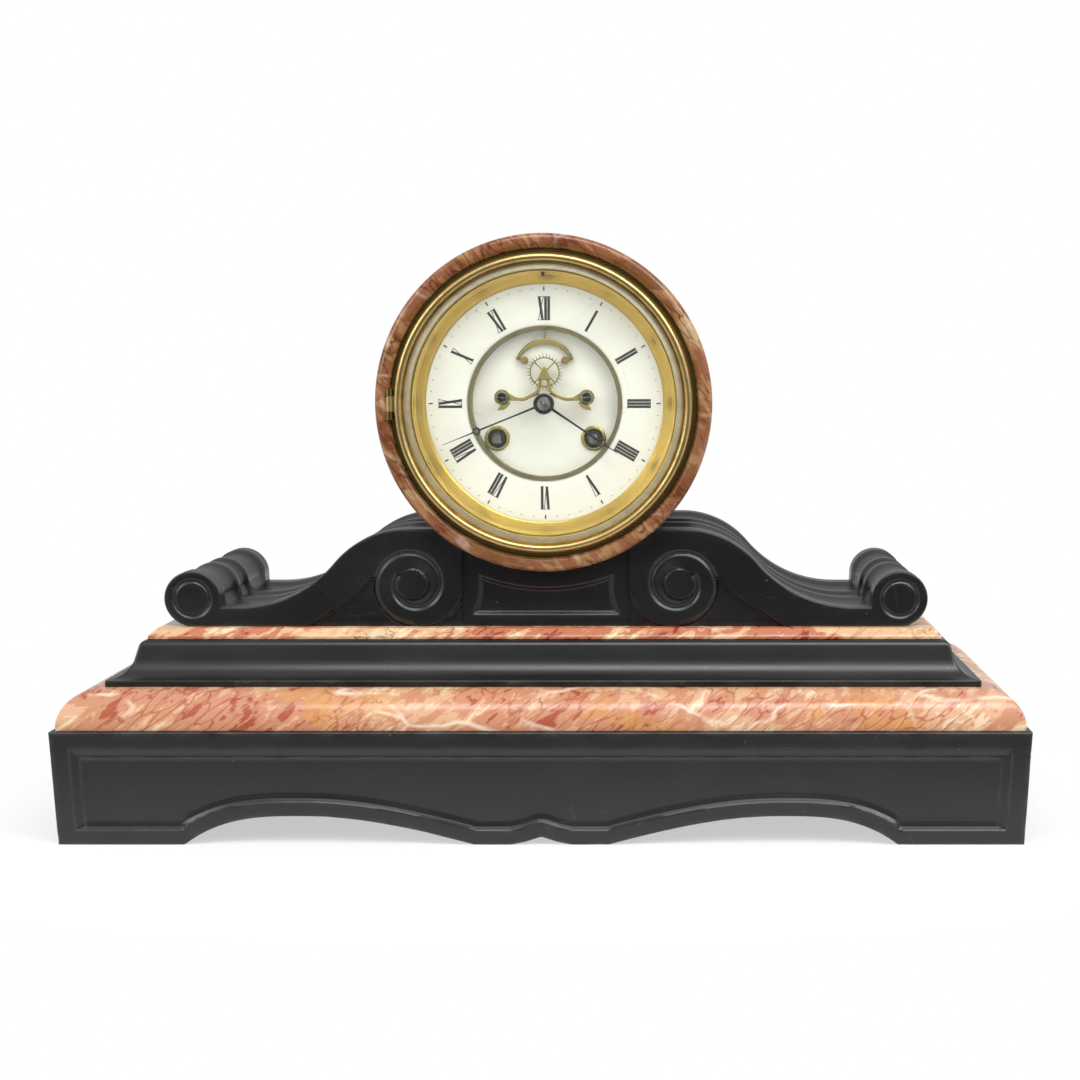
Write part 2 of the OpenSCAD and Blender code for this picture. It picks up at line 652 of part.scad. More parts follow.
module back_ring() color(brass) at_dial() difference() {
  union() {
    band(drum_bore_r + 7, drum_bore_r - 8, rear_z - back_ring_t, rear_z);
    for (s = [-1, 1]) {
      upright(door_hinge_x, s*knuckle_at, door_hinge_z, door_knuckle_r, side_knuckle);
      translate([door_hinge_x - 0.6, s*knuckle_at - side_knuckle/2, door_hinge_z + 0.9])
        cube([1.2, side_knuckle, 1.2]);
    }
  }
  upright(door_hinge_x, 0, door_hinge_z, hinge_pin_r + pivot_play, 3*mid_knuckle);
  for (s = [-1, 1]) rod([s*strap_screw_x, 0], screw_hole_r, rear_z - 5, rear_z + 5);
}
module back_door() color(brass) at_dial() difference() {
  union() {
    rod(centre_p, door_r, door_z, door_z + door_t);
    upright(door_hinge_x, 0, door_hinge_z, door_knuckle_r, mid_knuckle);
    translate([door_hinge_x + 0.9, -mid_knuckle/2, door_z]) cube([4, mid_knuckle, 1.2]);
    rod([0.76*door_r, 0], 3, door_z - 2, door_z + 0.5);
  }
  upright(door_hinge_x, 0, door_hinge_z, hinge_pin_r + pivot_play, 3*mid_knuckle);
  for (i = [0:11]) rod(0.455*door_r*[cos(30*i), sin(30*i)], sound_hole_r, door_z - 5, rear_z);
  for (i = [0:5]) rod(0.212*door_r*[cos(60*i), sin(60*i)], sound_hole_r, door_z - 5, rear_z);
  for (s = [-1, 1]) rod([s*strap_screw_x, 0], screw_head_r + 0.6, door_z - 5, rear_z);
}
module case_straps() color(brass) at_dial() for (s = [-1, 1]) difference() {
  union() {
    translate([s*strap_x - strap_t/2, -strap_w/2, rear_z])
      cube([strap_t, strap_w, pan_floor_z - rear_z]);
    for (zt = [[rear_z, 3], [pan_floor_z - strap_t, strap_t]])
      translate([s*(strap_x - 2.8) - strap_foot_w/2, -strap_w/2, zt[0]])
        cube([strap_foot_w, strap_w, zt[1]]);
  }
  rod([s*strap_screw_x, 0], screw_hole_r, rear_z - 1, rear_z + 4);
}

// The steel screw used all over the movement, its head's underside at z0, pointing to -z
module screw(p, z0, way = 1) translate([p[0], p[1], z0]) mirror([0, 0, way > 0 ? 0 : 1]) difference() {
  union() {
    cylinder(h = screw_head_t, r = screw_head_r);
    translate([0, 0, -screw_len]) cylinder(h = screw_len + e, r = screw_r);
  }
  translate([-screw_head_r - 1, -0.3, screw_head_t/2]) cube([2*screw_head_r + 2, 0.6, 2]);
}
module small_screws() color(blued) at_dial() {
  for (p = pillar_at) screw(p, front_plate_z);
  for (p = pillar_at) screw(p, back_plate_z, -1);
  for (s = [-1, 1]) screw([s*bridge_x, bridge_y], bridge_z + bridge_t);
  for (s = [-1, 1]) screw([s*strap_screw_x, 0], rear_z - back_ring_t, -1);
  for (p = cock_screws) screw(p, back_plate_z - cock_t, -1);
}
module pillar_holes(z0, z1) for (p = pillar_at) rod(p, screw_hole_r, z0, z1);
module front_plate() color(brass) at_dial() difference() {
  union() {
    rod(centre_p, plate_r, gap_front_z, front_plate_z);
    plate_studs();
  }
  pillar_holes(gap_front_z - 1, front_plate_z + 1);
  for (h = [[going_p, front_square_r], [strike_p, front_square_r], [centre_p, centre_arbor_r],
    [anchor_p, anchor_arbor_r], [escape_p, escape_arbor_r], [inter_p, pivot_r], [third_p, pivot_r],
    [second_p, count_pivot_r], [pin_p, pivot_r], [hammer_p, pivot_r], [lock_p, thin_pivot_r],
    [fly_p, thin_pivot_r]]) rod(h[0], h[1] + pivot_play, gap_front_z - 1, front_plate_z + 1);
}
// Studs on the front plate for the clicks and the minute wheel
module plate_studs() {
  for (s = [-1, 1]) rod([s*(winding_x + click_arm), click_up - winding_drop], click_stud_r,
    front_plate_z - e, front_plate_z + 3);
  rod(minute_p, minute_stud_r, front_plate_z - e, front_plate_z + 6);
}
module back_plate() color(brass) at_dial() difference() {
  rod(centre_p, plate_r, back_plate_z, gap_back_z);
  pillar_holes(back_plate_z - 1, gap_back_z + 1);
  for (h = [[going_p, rear_arbor_r], [strike_p, rear_arbor_r], [anchor_p, anchor_arbor_r],
    [second_p, count_pivot_r], [hammer_p, hammer_arbor_r], [centre_p, pivot_r], [inter_p, pivot_r],
    [third_p, pivot_r], [pin_p, pivot_r], [escape_p, thin_pivot_r], [lock_p, thin_pivot_r],
    [fly_p, thin_pivot_r]]) rod(h[0], h[1] + pivot_play, back_plate_z - 1, gap_back_z + 1);
  for (p = cock_screws) rod(p, screw_hole_r, back_plate_z - 1, gap_back_z + 1);
}
module plate_pillars() color(brass) at_dial() for (p = pillar_at) difference() {
  union() {
    rod(p, pillar_r, gap_back_z, gap_front_z);
    for (z = [gap_back_z, gap_front_z - 1.5]) rod(p, pillar_r + 0.8, z, z + 1.5);
  }
  for (z = [gap_back_z, gap_front_z]) rod(p, screw_hole_r, z - 4, z + 4);
}

// A spring barrel with its toothed rim, open inside for the mainspring
barrel_teeth_z = layer(barrel_layer);
barrel_teeth_t = 2.4;
barrel_wall = 1.2;
module barrel(p, turn) {
  difference() {
    union() {
      translate([p[0], p[1], barrel_teeth_z]) linear_extrude(barrel_teeth_t) rotate(turn)
        wheel_teeth(barrel_n, barrel_m);
      rod(p, barrel_r, barrel_teeth_z - barrel_d, barrel_teeth_z + e);
    }
    rod(p, barrel_r - barrel_wall, barrel_teeth_z - barrel_d + barrel_wall, barrel_teeth_z + 0.8);
    rod(p, barrel_arbor_r + pivot_play, barrel_teeth_z - barrel_d - 1,
      barrel_teeth_z + barrel_teeth_t + 1);
  }
}
module going_barrel() color(brass) at_dial() barrel(going_p, heading(going_p, inter_p));
module strike_barrel() color(brass) at_dial() barrel(strike_p, heading(strike_p, second_p));
// A ribbon wound in a spiral of n turns from r0 to r1
function spiral(r0, r1, n, t) = let (k = 16*n) concat(
  [for (i = [0:k]) (r0 + (r1 - r0)*i/k)*[cos(360*n*i/k), sin(360*n*i/k)]],
  [for (i = [k:-1:0]) (r0 + t + (r1 - r0)*i/k)*[cos(360*n*i/k), sin(360*n*i/k)]]);
module mainsprings() color(steel) at_dial() for (p = [going_p, strike_p])
  translate([p[0], p[1], barrel_teeth_z - barrel_d + 1.5]) linear_extrude(barrel_d - 1)
    polygon(spiral(barrel_arbor_r + 0.4, barrel_r - barrel_wall - 0.9, 7, 0.5));
// A winding arbor with its square end and its ratchet wheel
module winding_arbor(p, s) {
  rod(p, barrel_arbor_r, barrel_teeth_z - barrel_d - 0.3, layer(0.3));
  rod(p, rear_arbor_r, back_plate_z + 0.2, barrel_teeth_z - barrel_d);
  rod(p, front_square_r, layer(0.5), front_plate_z + 4);
  translate([p[0] - winding_square/2, p[1] - winding_square/2, front_plate_z + 3.9])
    cube([winding_square, winding_square, centre_z + 3.5 - front_plate_z - 3.9]);
  plate(front_plate_z + 0.6, 1.6) translate(p) mirror([s, 0]) rotate(90)
    polygon([for (i = [0:ratchet_n - 1]) for (k = [[ratchet_r, 0], [ratchet_r - 1.1, 0.92]])
      let (a = (i + k[1])*360/ratchet_n) k[0]*[cos(a), sin(a)]]);
}
module going_winding_arbor() color(steel) at_dial() winding_arbor(going_p, 0);
module strike_winding_arbor() color(steel) at_dial() winding_arbor(strike_p, 1);
// A click on its own stud above the ratchet wheel, its tip in a tooth
module click(p, s) translate([p[0], p[1], front_plate_z]) mirror([s, 0, 0]) {
  translate([click_arm, click_up, 0.3]) difference() {
    cylinder(h = 2.3, r = 2);
    translate([0, 0, -1]) cylinder(h = 5, r = click_stud_r + pivot_play);
  }
  translate([0, 0, 0.6]) linear_extrude(1.6)
    polygon([[0.25, ratchet_r - 0.8], [2.2, ratchet_r + 0.3], [click_arm - 1.6, ratchet_r - 0.2],
      [click_arm - 1.4, ratchet_r + 2.1], [0.9, ratchet_r + 1.7], [0.25, ratchet_r + 0.8]]);
}
module going_click() color(blued) at_dial() click(going_p, 0);
module strike_click() color(blued) at_dial() click(strike_p, 1);

// An arbor with a thin pivot at each end
module arbor(p, r = 1, pivot = pivot_r, zf = front_plate_z - 0.2, zb = back_plate_z + 0.2) {
  rod(p, r, gap_back_z + 0.3, gap_front_z - 0.3);
  rod(p, pivot, gap_front_z - 0.4, zf);
  rod(p, pivot, zb, gap_back_z + 0.4);
}
module intermediate_wheel() color(brass) at_dial() {
  arbor(inter_p, 0.9);
  wheel(inter_p, inter_n, inter_m, heading(inter_p, centre_p), layer(slow_layer), 1.2, 5, 3.4);
  pinion(inter_p, slow_pinion_n, barrel_m, heading(inter_p, going_p),
    layer(slow_pinion_layer), 4);
}
module centre_wheel() color(brass) at_dial() {
  arbor(centre_p, centre_arbor_r, pivot_r, gap_front_z);
  rod(centre_p, centre_arbor_r, gap_front_z - 1, hour_hand_z - 0.6);
  wheel(centre_p, centre_n, centre_m, heading(centre_p, third_p), layer(centre_layer), 1.2, 5, 3.4);
  pinion(centre_p, slow_pinion_n, inter_m, heading(centre_p, inter_p),
    layer(centre_pinion_layer), 5);
}
module third_wheel() color(brass) at_dial() {
  arbor(third_p, 0.9);
  wheel(third_p, third_n, third_m, heading(third_p, escape_p), gap_back_z + 1, 1, 5, 3);
  pinion(third_p, third_pinion_n, centre_m, heading(third_p, centre_p),
    layer(third_pinion_layer), 4);
}
// Long pointed teeth on a thin rim, with a gap at the top
module escape_wheel() color(brass) at_dial() {
  plate(escape_z, escape_t) translate(escape_p) difference() {
    polygon([for (i = [0:escape_teeth - 1]) for (k = [[0.76, -0.42], [1, -0.06], [1, 0.06], [0.76, 0.16]])
      let (a = 90 + (i + 0.5 + k[1])*360/escape_teeth) escape_r*k[0]*[cos(a), sin(a)]]);
    crossings(0.64*escape_r, 1.9, 4);
  }
  rod(escape_p, escape_arbor_r, gap_back_z + 0.3, escape_z + escape_t + 0.6);
  rod(escape_p, thin_pivot_r, escape_z + escape_t, bridge_z + 0.8);
  rod(escape_p, thin_pivot_r, back_plate_z + 0.2, gap_back_z + 0.4);
  pinion(escape_p, escape_pinion_n, third_m, heading(escape_p, third_p), gap_back_z + 0.6, 3);
}
module escape_bridge() color(brass) at_dial() {
  difference() {
    union() {
      plate(bridge_z, bridge_t) bridge_outline();
      for (s = [-1, 1]) rod([s*bridge_x, bridge_y], 1.8, front_plate_z, bridge_z + 0.2);
    }
    rod(escape_p, thin_pivot_r + pivot_play, bridge_z - 1, bridge_z + 2);
    for (s = [-1, 1]) rod([s*bridge_x, bridge_y], 1.2, bridge_z - 2, bridge_z + 2);
  }
}
module bridge_outline() {
  for (s = [0, 1]) mirror([s, 0]) {
    translate([bridge_x, bridge_y]) circle(2.9);
    polygon([[bridge_x - 2.2, bridge_y + 1.9], [bridge_x + 1.2, bridge_y - 2.7],
      [bridge_x + 1.6, bridge_y - 6], [bridge_x - 1.4, bridge_y - 3],
      [14, 0.6], [8.6, 2.6], [5, 6], [2.3, 8.6], [2.3, 11.4], [4.6, 9.4], [8, 5.2], [13, 3]]);
  }
  translate([-2.7, 6.4]) square([5.4, 8]);
  polygon([[-4.9, 13.4], [4.9, 13.4], [1, escape_y + 3.4], [-1, escape_y + 3.4]]);
}
// The anchor: a crescent over the escape wheel, its stem, arbor and crutch
pallet_at = escape_r + pallet_play + pallet_r;
boss_at = pallet_at + 1.6;
module anchor() color(brass) at_dial() difference() {
  union() {
    plate(anchor_z, anchor_t) {
      translate(escape_p) difference() {
        circle(18.2);
        translate([0, -1.3]) circle(16.4);
        translate([-30, -40]) square([60, 45.6]);
      }
      for (s = [-1, 1]) translate(escape_p) rotate(-s*60) translate([0, boss_at]) circle(2.3);
      for (s = [-1, 1]) translate(escape_p) rotate(-s*62) translate([-1, boss_at]) square([2, 5]);
      translate([-1.6, escape_y + 16]) square([3.2, anchor_y - escape_y - 16]);
      translate(anchor_p) circle(2.4);
    }
    rod(anchor_p, anchor_arbor_r, back_plate_z - 3, anchor_z + 0.2);
    rod(anchor_p, 1.4, gap_back_z + 0.4, gap_front_z - 0.4);
    rod(anchor_p, 1.8, back_plate_z - 2.9, back_plate_z - 1.9);
    plate(back_plate_z - 2.9, 1) translate([-crutch_w/2, 18]) square([crutch_w, anchor_y - 18]);
    translate([-2.2, 17, pendulum_z - 2]) cube([4.4, 2.4, back_plate_z - 1.9 - pendulum_z + 2]);
  }
  translate([-1.3, 10, pendulum_z - 5]) cube([2.6, 20, 7]);
  for (s = [-1, 1]) translate([0, escape_y, 0]) rotate(-s*60)
    rod([0, pallet_at], pallet_r, anchor_z - 1, anchor_z + 5);
}
module pallets() color("#a03024") at_dial() for (s = [-1, 1]) translate([0, escape_y, 0])
  rotate(-s*60) rod([0, pallet_at], pallet_r, anchor_z, escape_z + escape_t + 0.4);

module suspension_cock() color(brass) at_dial() difference() {
  union() {
    translate([-10, anchor_y - 7, back_plate_z - cock_t]) cube([20, 17.8, cock_t]);
    translate([-5, anchor_y + 3, pendulum_z - 5]) cube([10, 6, back_plate_z - pendulum_z + 4]);
    translate([-5, anchor_y + 3, pendulum_z - 5]) cube([10, regulator_y - anchor_y - 1, 4]);
  }
  rod(anchor_p, 4.6, pendulum_z - 9, back_plate_z + 1);
  translate([-4, 17, back_plate_z - 9]) cube([8, 24, 10]);
  translate([-1.5, 40, pendulum_z - 3]) cube([3, 12, 6]);
  rod(regulator_p, regulator_r + pivot_play, pendulum_z - 9, back_plate_z);
  for (p = cock_screws) rod(p, screw_hole_r, back_plate_z - 4, back_plate_z + 1);
  for (p = cock_screws) rod(p, screw_head_r + 0.3, back_plate_z - 9, back_plate_z - cock_t);
}
module suspension_spring() color(steel) at_dial() {
  translate([-0.1, anchor_y - 4.5, pendulum_z - 2]) cube([0.2, 9, 4]);
  translate([-0.9, anchor_y + 4, pendulum_z - 2.4]) cube([1.8, 3, 4.8]);
  translate([-0.9, anchor_y - 7, pendulum_z - 2.4]) cube([1.8, 3, 4.8]);
}
bob_y = anchor_y - pendulum_len;
module pendulum_rod() color(brass) at_dial() translate([0, 0, pendulum_z]) rotate([90, 0, 0])
  translate([0, 0, -anchor_y + 7]) cylinder(h = pendulum_len - 7 - bob_r + 1, r = 1);
module pendulum_bob() color(brass) at_dial() translate([0, bob_y, pendulum_z]) difference() {
  intersection() {
    translate([0, 0, bob_t/2 - lens_r]) sphere(r = lens_r, $fn = 96);
    translate([0, 0, lens_r - bob_t/2]) sphere(r = lens_r, $fn = 96);
    translate([0, 0, -bob_t]) cylinder(h = 2*bob_t, r = bob_r);
  }
  rotate([-90, 0, 0]) translate([0, 0, bob_r - 2.5]) cylinder(h = 5, r = 1.02);
}
lens_r = (bob_r*bob_r/(bob_t/2 - 1) + bob_t/2 - 1)/2;
module regulator_arbor() color(blued) at_dial() {
  rod(regulator_p, regulator_r, pendulum_z - 5.5, bezel_z - 3.4);
  translate([-0.8, regulator_y - 0.8, bezel_z - 3.5]) cube([1.6, 1.6, 3]);
}

module cannon_pinion() color(steel) at_dial() difference() {
  union() {
    rod(centre_p, cannon_r, front_plate_z + 0.4, minute_hand_z);
    pinion(centre_p, cannon_n, cannon_m, -90, front_plate_z + 0.5, 2.6);
  }
  rod(centre_p, centre_arbor_r + 0.02, front_plate_z, hour_hand_z - 0.5);
}
module minute_wheel() color(brass) at_dial() difference() {
  union() {
    wheel(minute_p, minute_n, cannon_m, 90, front_plate_z + 1, 1.2, 0, 0);
    pinion(minute_p, minute_pinion_n, hour_m, 90, front_plate_z + 2.1, 3.4);
  }
  rod(minute_p, minute_stud_r + pivot_play, front_plate_z, front_plate_z + 8);
}
module hour_wheel() color(brass) at_dial() difference() {
  union() {
    wheel(centre_p, hour_n, hour_m, -90, front_plate_z + 3.9, 1.2, 0, 0);
    rod(centre_p, hour_pipe_r, front_plate_z + 4, hour_hand_z + hand_t);
  }
  rod(centre_p, cannon_r + pivot_play, front_plate_z, minute_hand_z + 1);
}
// A moon hand: a blade that narrows to the moon, the ring, and its pointed tip
module hand_outline(len, w, moon_r, moon_y, hub) difference() {
  union() {
    circle(hub);
    polygon([[-w*0.55, 0], [w*0.55, 0], [w*0.32, moon_y - moon_r + 0.4], [-w*0.32, moon_y - moon_r + 0.4]]);
    translate([0, moon_y]) circle(moon_r);
    polygon([[-w*0.55, moon_y + moon_r - 0.4], [w*0.55, moon_y + moon_r - 0.4], [0.12, len], [-0.12, len]]);
  }
  translate([0, moon_y + 0.35]) circle(moon_r - 0.85);
}
module hour_hand() color(blued) at_dial() difference() {
  plate(hour_hand_z, hand_t) rotate(-hour_angle) hand_outline(hour_len, 2.2, 2.6, hour_len - 10, 5);
  rod(centre_p, hour_pipe_r + 0.01, hour_hand_z - 1, hour_hand_z + 2);
}
module minute_hand() color(blued) at_dial() {
  difference() {
    plate(minute_hand_z, hand_t) rotate(-minute_angle)
      hand_outline(minute_len, 1.7, 2.3, minute_len - 19, 4.4);
    rod(centre_p, 1.4, minute_hand_z - 1, minute_hand_z + 2);
  }
  translate([0, 0, minute_hand_z]) rotate_extrude()
    polygon([[0, 0], [1.4, 0], [1.4, hand_t], [5.2, hand_t], [5, hand_t + 0.7], [3.6, hand_t + 1],
      [3.2, hand_t + 1.7], [2.2, hand_t + 2.1], [0, hand_t + 2.2]]);
}

module strike_second_wheel() color(brass) at_dial() {
  arbor(second_p, 1, count_pivot_r, front_plate_z - 0.2, back_plate_z - 3);
  wheel(second_p, second_n, second_m, heading(second_p, pin_p), layer(slow_layer), 1.2, 5, 3.4);
  pinion(second_p, slow_pinion_n, barrel_m, heading(second_p, strike_p),
    layer(slow_pinion_layer), 4);
}
lift_pin_at = 8;
lift_pin_r = 0.6;
module pin_wheel() color(brass) at_dial() {
  arbor(pin_p);
  wheel(pin_p, pin_n, pin_m, heading(pin_p, lock_p), layer(pin_layer), 1.2, 0, 0);
  pinion(pin_p, pin_pinion_n, second_m, heading(pin_p, second_p), layer(pin_pinion_layer), 4);
  for (i = [0:9]) rod(pin_p + lift_pin_at*[cos(36*i), sin(36*i)], lift_pin_r,
    layer(pin_layer + 3.2), layer(pin_layer - 0.1));
}
module locking_wheel() color(brass) at_dial() {
  arbor(lock_p, 0.6, thin_pivot_r);
  wheel(lock_p, lock_n, lock_m, heading(lock_p, fly_p), layer(lock_layer), 1, 4, 2.4);
  pinion(lock_p, lock_pinion_n, pin_m, heading(lock_p, pin_p), layer(lock_pinion_layer), 4);
  rod(lock_p + [6.9, 0], 0.4, layer(lock_layer + 2), layer(lock_layer - 0.1));
}
fly_half_w = 6.8;
module fly() color(brass) at_dial() {
  arbor(fly_p, 0.5, thin_pivot_r);
  pinion(fly_p, fly_pinion_n, lock_m, heading(fly_p, lock_p), layer(fly_pinion_layer), 4);
  translate([fly_p[0] - fly_half_w, fly_p[1] - 0.25, layer(fly_layer)]) cube([2*fly_half_w, 0.5, 11]);
}
// Notches after each hour's blows and the half hour's single blow, in ninetieths of a turn
count_r = 13.2;
module count_wheel() color(brass) at_dial() plate(back_plate_z - 1.9, 1) translate(second_p)
  difference() {
    circle(count_r);
    for (h = [1:12]) rotate(-4*((h - 1)*(h + 2)/2 + h))
      translate([count_r - 1.6, -0.4]) square([3, 1.6]);
    circle(count_pivot_r + 0.01);
    for (i = [0:4]) rotate(72*i) translate([6.4, 0]) circle(2.6);
  }
module hammer() color(steel) at_dial() {
  rod(hammer_p, hammer_arbor_r, arm_z, gap_front_z - 0.4);
  rod(hammer_p, pivot_r, gap_front_z - 0.5, front_plate_z - 0.2);
  plate(layer(pin_layer + 3), 1.6) translate(hammer_p) rotate(heading(hammer_p, pin_p))
    translate([0, -0.7]) square([norm(pin_p - hammer_p) - lift_pin_at - lift_pin_r - 0.3, 1.4]);
  plate(arm_z, 2) translate(hammer_p) rotate(heading(hammer_p, hammer_head_p))
    translate([0, -0.8]) square([norm(hammer_head_p - hammer_p), 1.6]);
  rod(hammer_head_p, hammer_head_r, arm_z - 2.5, arm_z + 3.5);
}
hammer_head_r = 3.2;
hammer_rest = 1.2;
hammer_head_p = bell_p + (bell_r + hammer_head_r + hammer_rest)*[cos(55), sin(55)];
arm_z = back_plate_z - 22.5;
bell_z = back_plate_z - 20;
bell_d = 16;
module bell() color(brass) at_dial() translate([bell_p[0], bell_p[1], bell_z]) rotate_extrude()
  polygon(concat([for (i = [0:12]) let (a = 7.5*i) [max(2.6, bell_r*cos(a)), -bell_d*sin(a)]],
    [for (i = [12:-1:0]) let (a = 7.5*i)
      [max(2.6, (bell_r - bell_t)*cos(a)), -(bell_d - bell_t)*sin(a)]]));
module bell_stand() color(steel) at_dial() {
  rod(bell_p, 3.4, bell_z - bell_d + bell_t + 0.12, back_plate_z);
  rod(bell_p, 2.5, bell_z - bell_d - 3, bell_z - bell_d + bell_t + 0.2);
  difference() {
    rod(bell_p, 4, bell_z - bell_d - 2.6, bell_z - bell_d - 0.05);
    for (i = [0:5]) translate([bell_p[0], bell_p[1], bell_z - bell_d - 3]) rotate(60*i)
      translate([3.4, -4]) cube([2, 8, 4]);
  }
}

plinth_front();
plinth_left_side();
plinth_right_side();
plinth_back();
lower_marble_slab();
slate_moulding();
upper_marble_slab();
scroll_block();
left_scroll();
right_scroll();
drum_body();
drum_front_ring();
dial_pan();
bezel();
bezel_glass();
hinge_pins();
gilt_slip();
chapter_ring();
dial_centre();
dial_centre_band();
winding_collets();
back_ring();
back_door();
case_straps();
front_plate();
back_plate();
plate_pillars();
small_screws();
going_barrel();
mainsprings();
going_winding_arbor();
going_click();
intermediate_wheel();
centre_wheel();
third_wheel();
escape_wheel();
escape_bridge();
anchor();
pallets();
suspension_cock();
suspension_spring();
pendulum_rod();
pendulum_bob();
regulator_arbor();
cannon_pinion();
minute_wheel();
hour_wheel();
hour_hand();
minute_hand();
strike_barrel();
strike_winding_arbor();
strike_click();
strike_second_wheel();
pin_wheel();
locking_wheel();
fly();
count_wheel();
hammer();
bell();
bell_stand();
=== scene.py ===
"""Looks of a drumhead mantel clock in black slate and red marble.

Shapes are worked out in millimetres and turned to metres where their mesh is made. Shapes of the
dial use its own axes: x right, y up, z towards the viewer.
"""
import json
from math import radians

import bmesh
import bpy
import numpy as np
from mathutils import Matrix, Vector


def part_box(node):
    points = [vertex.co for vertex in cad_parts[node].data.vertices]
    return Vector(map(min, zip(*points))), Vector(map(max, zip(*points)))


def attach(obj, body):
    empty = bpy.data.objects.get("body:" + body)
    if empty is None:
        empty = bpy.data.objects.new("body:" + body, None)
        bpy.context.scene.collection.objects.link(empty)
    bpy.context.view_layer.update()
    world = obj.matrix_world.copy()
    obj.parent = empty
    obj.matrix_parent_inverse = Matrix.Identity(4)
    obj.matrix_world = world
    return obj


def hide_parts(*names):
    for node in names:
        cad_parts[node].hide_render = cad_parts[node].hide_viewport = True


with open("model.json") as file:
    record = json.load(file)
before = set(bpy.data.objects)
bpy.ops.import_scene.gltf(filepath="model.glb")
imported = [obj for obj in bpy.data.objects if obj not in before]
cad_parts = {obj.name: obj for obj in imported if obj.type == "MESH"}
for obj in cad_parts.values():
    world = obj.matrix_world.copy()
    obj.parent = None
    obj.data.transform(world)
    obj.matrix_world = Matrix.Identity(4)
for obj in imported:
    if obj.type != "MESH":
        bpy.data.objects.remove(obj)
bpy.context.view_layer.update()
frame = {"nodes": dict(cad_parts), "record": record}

# Sizes of the case in millimetres, as in the part's source
PLINTH_W, PLINTH_D, PLINTH_H = 489.0, 168.0, 57.0
FRONT, BACK = -PLINTH_D / 2, PLINTH_D / 2
BATTER = 3.0
SLAB_T = 20.0
ARCH_H, ARCH_PEAK, ARCH_END, FOOT, CUSP = 14.5, 121.0, 34.0, 61.0, 4.0
PANEL_TOP, PANEL_SIDE, PANEL_LOW, PANEL_MOULDING = 8.0, 9.3, 7.4, 4.8
LOWER_Z, MOULDING_Z, UPPER_Z, BLOCK_Z = 57.0, 76.0, 97.5, 103.0
SCROLL_TOP = 153.8
SCROLL_FRONT, SCROLL_D = -35.0, 119.0
CHAMBER_X, CHAMBER_FRONT, CHAMBER_BACK = 32.0, 11.0, 37.0
DRUM_Z, DRUM_R, BORE_R = 218.5, 86.0, 69.2
FACE_Z = 44.0
RECESS_R = 78.4
CHAPTER_Z = 33.0
HOUR_HAND_Z, MINUTE_HAND_Z = 37.8, 39.6


# Numbers that look random and are the same each time
def lattice(p, seed):
    """Smooth noise from 0 to 1 at points p: random values on a unit lattice, cubic between."""
    i = np.floor(p).astype(np.int64)
    f = p - i
    f = f * f * (3 - 2 * f)
    total = np.zeros(p.shape[:-1])
    for c in range(8):
        o = np.array([c & 1, c >> 1 & 1, c >> 2 & 1])
        k = i + o
        h = k[..., 0] * 73856093 ^ k[..., 1] * 19349663 ^ k[..., 2] * 83492791 ^ seed * 7919
        h &= 0xFFFFFFFF
        h = ((h ^ h >> 13) * 1274126177) & 0xFFFFFFFF
        h = ((h ^ h >> 16) & 0xFFFF) / 65535.0
        total += h * np.prod(np.where(o, f, 1 - f), axis=-1)
    return total


def chips(p, size, rarity, seed):
    """Depth of random chips at points p: smooth noise of the given size, less its rarity."""
    return np.clip(lattice(p / size, seed) - rarity, 0, 1)


def smooth(t):
    """0 below 0, 1 above 1 and 3t^2 - 2t^3 between."""
    t = np.clip(t, 0, 1)
    return t * t * (3 - 2 * t)


# Meshes from grids of points
def grid_quads(n, m, wrap_u, wrap_v):
    """Vertex numbers of the quads of an n by m grid, closed in u or v where asked."""
    u = np.arange(n if wrap_u else n - 1)[:, None]
    v = np.arange(m if wrap_v else m - 1)[None, :]
    u2, v2 = (u + 1) % n, (v + 1) % m
    return np.stack([u * m + v, u2 * m + v, u2 * m + v2, u * m + v2], -1).reshape(-1, 4)


def piece(name, grids, body, material, nodes=(), sharp=32, worn=None):
    """One closed object from grids (points, wrap_u, wrap_v), with seams and poles merged and
    edges sharper than an angle in degrees kept. worn gives each point's share of edge wear and,
    along the panel mouldings, of painted highlight, as one array a grid."""
    points, quads, start = [], [], 0
    for pts, wrap_u, wrap_v in grids:
        n, m = pts.shape[:2]
        points.append(pts.reshape(-1, 3))
        quads.append(grid_quads(n, m, wrap_u, wrap_v) + start)
        start += n * m
    points, quads = np.concatenate(points) / 1000.0, np.concatenate(quads)
    mesh = bpy.data.meshes.new(name)
    mesh.vertices.add(len(points))
    mesh.vertices.foreach_set("co", points.ravel())
    mesh.loops.add(len(quads) * 4)
    mesh.loops.foreach_set("vertex_index", quads.ravel())
    mesh.polygons.add(len(quads))
    mesh.polygons.foreach_set("loop_start", np.arange(len(quads)) * 4)
    mesh.update(calc_edges=True)
    if worn is not None:
        wear = mesh.attributes.new("worn", "FLOAT", "POINT")
        wear.data.foreach_set("value", np.concatenate([w.ravel() for w in worn]))
    bm = bmesh.new()
    bm.from_mesh(mesh)
    bmesh.ops.remove_doubles(bm, verts=bm.verts, dist=2e-6)
    bmesh.ops.dissolve_degenerate(bm, dist=1e-6, edges=bm.edges)
    bmesh.ops.recalc_face_normals(bm, faces=bm.faces)
    bm.to_mesh(mesh)
    bm.free()
    mesh.shade_smooth()
    mesh.set_sharp_from_angle(angle=radians(sharp))
    mesh.materials.append(material)
    o = bpy.data.objects.new(name, mesh)
    bpy.context.scene.collection.objects.link(o)
    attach(o, body)
    if nodes:
        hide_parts(*nodes)
    return o


def on_dial(x, y, z):
    """Points in the dial's axes, in place on the drum."""
    x, y, z = np.broadcast_arrays(x, y, z)
    return np.stack([x, -z, DRUM_Z + y], -1)


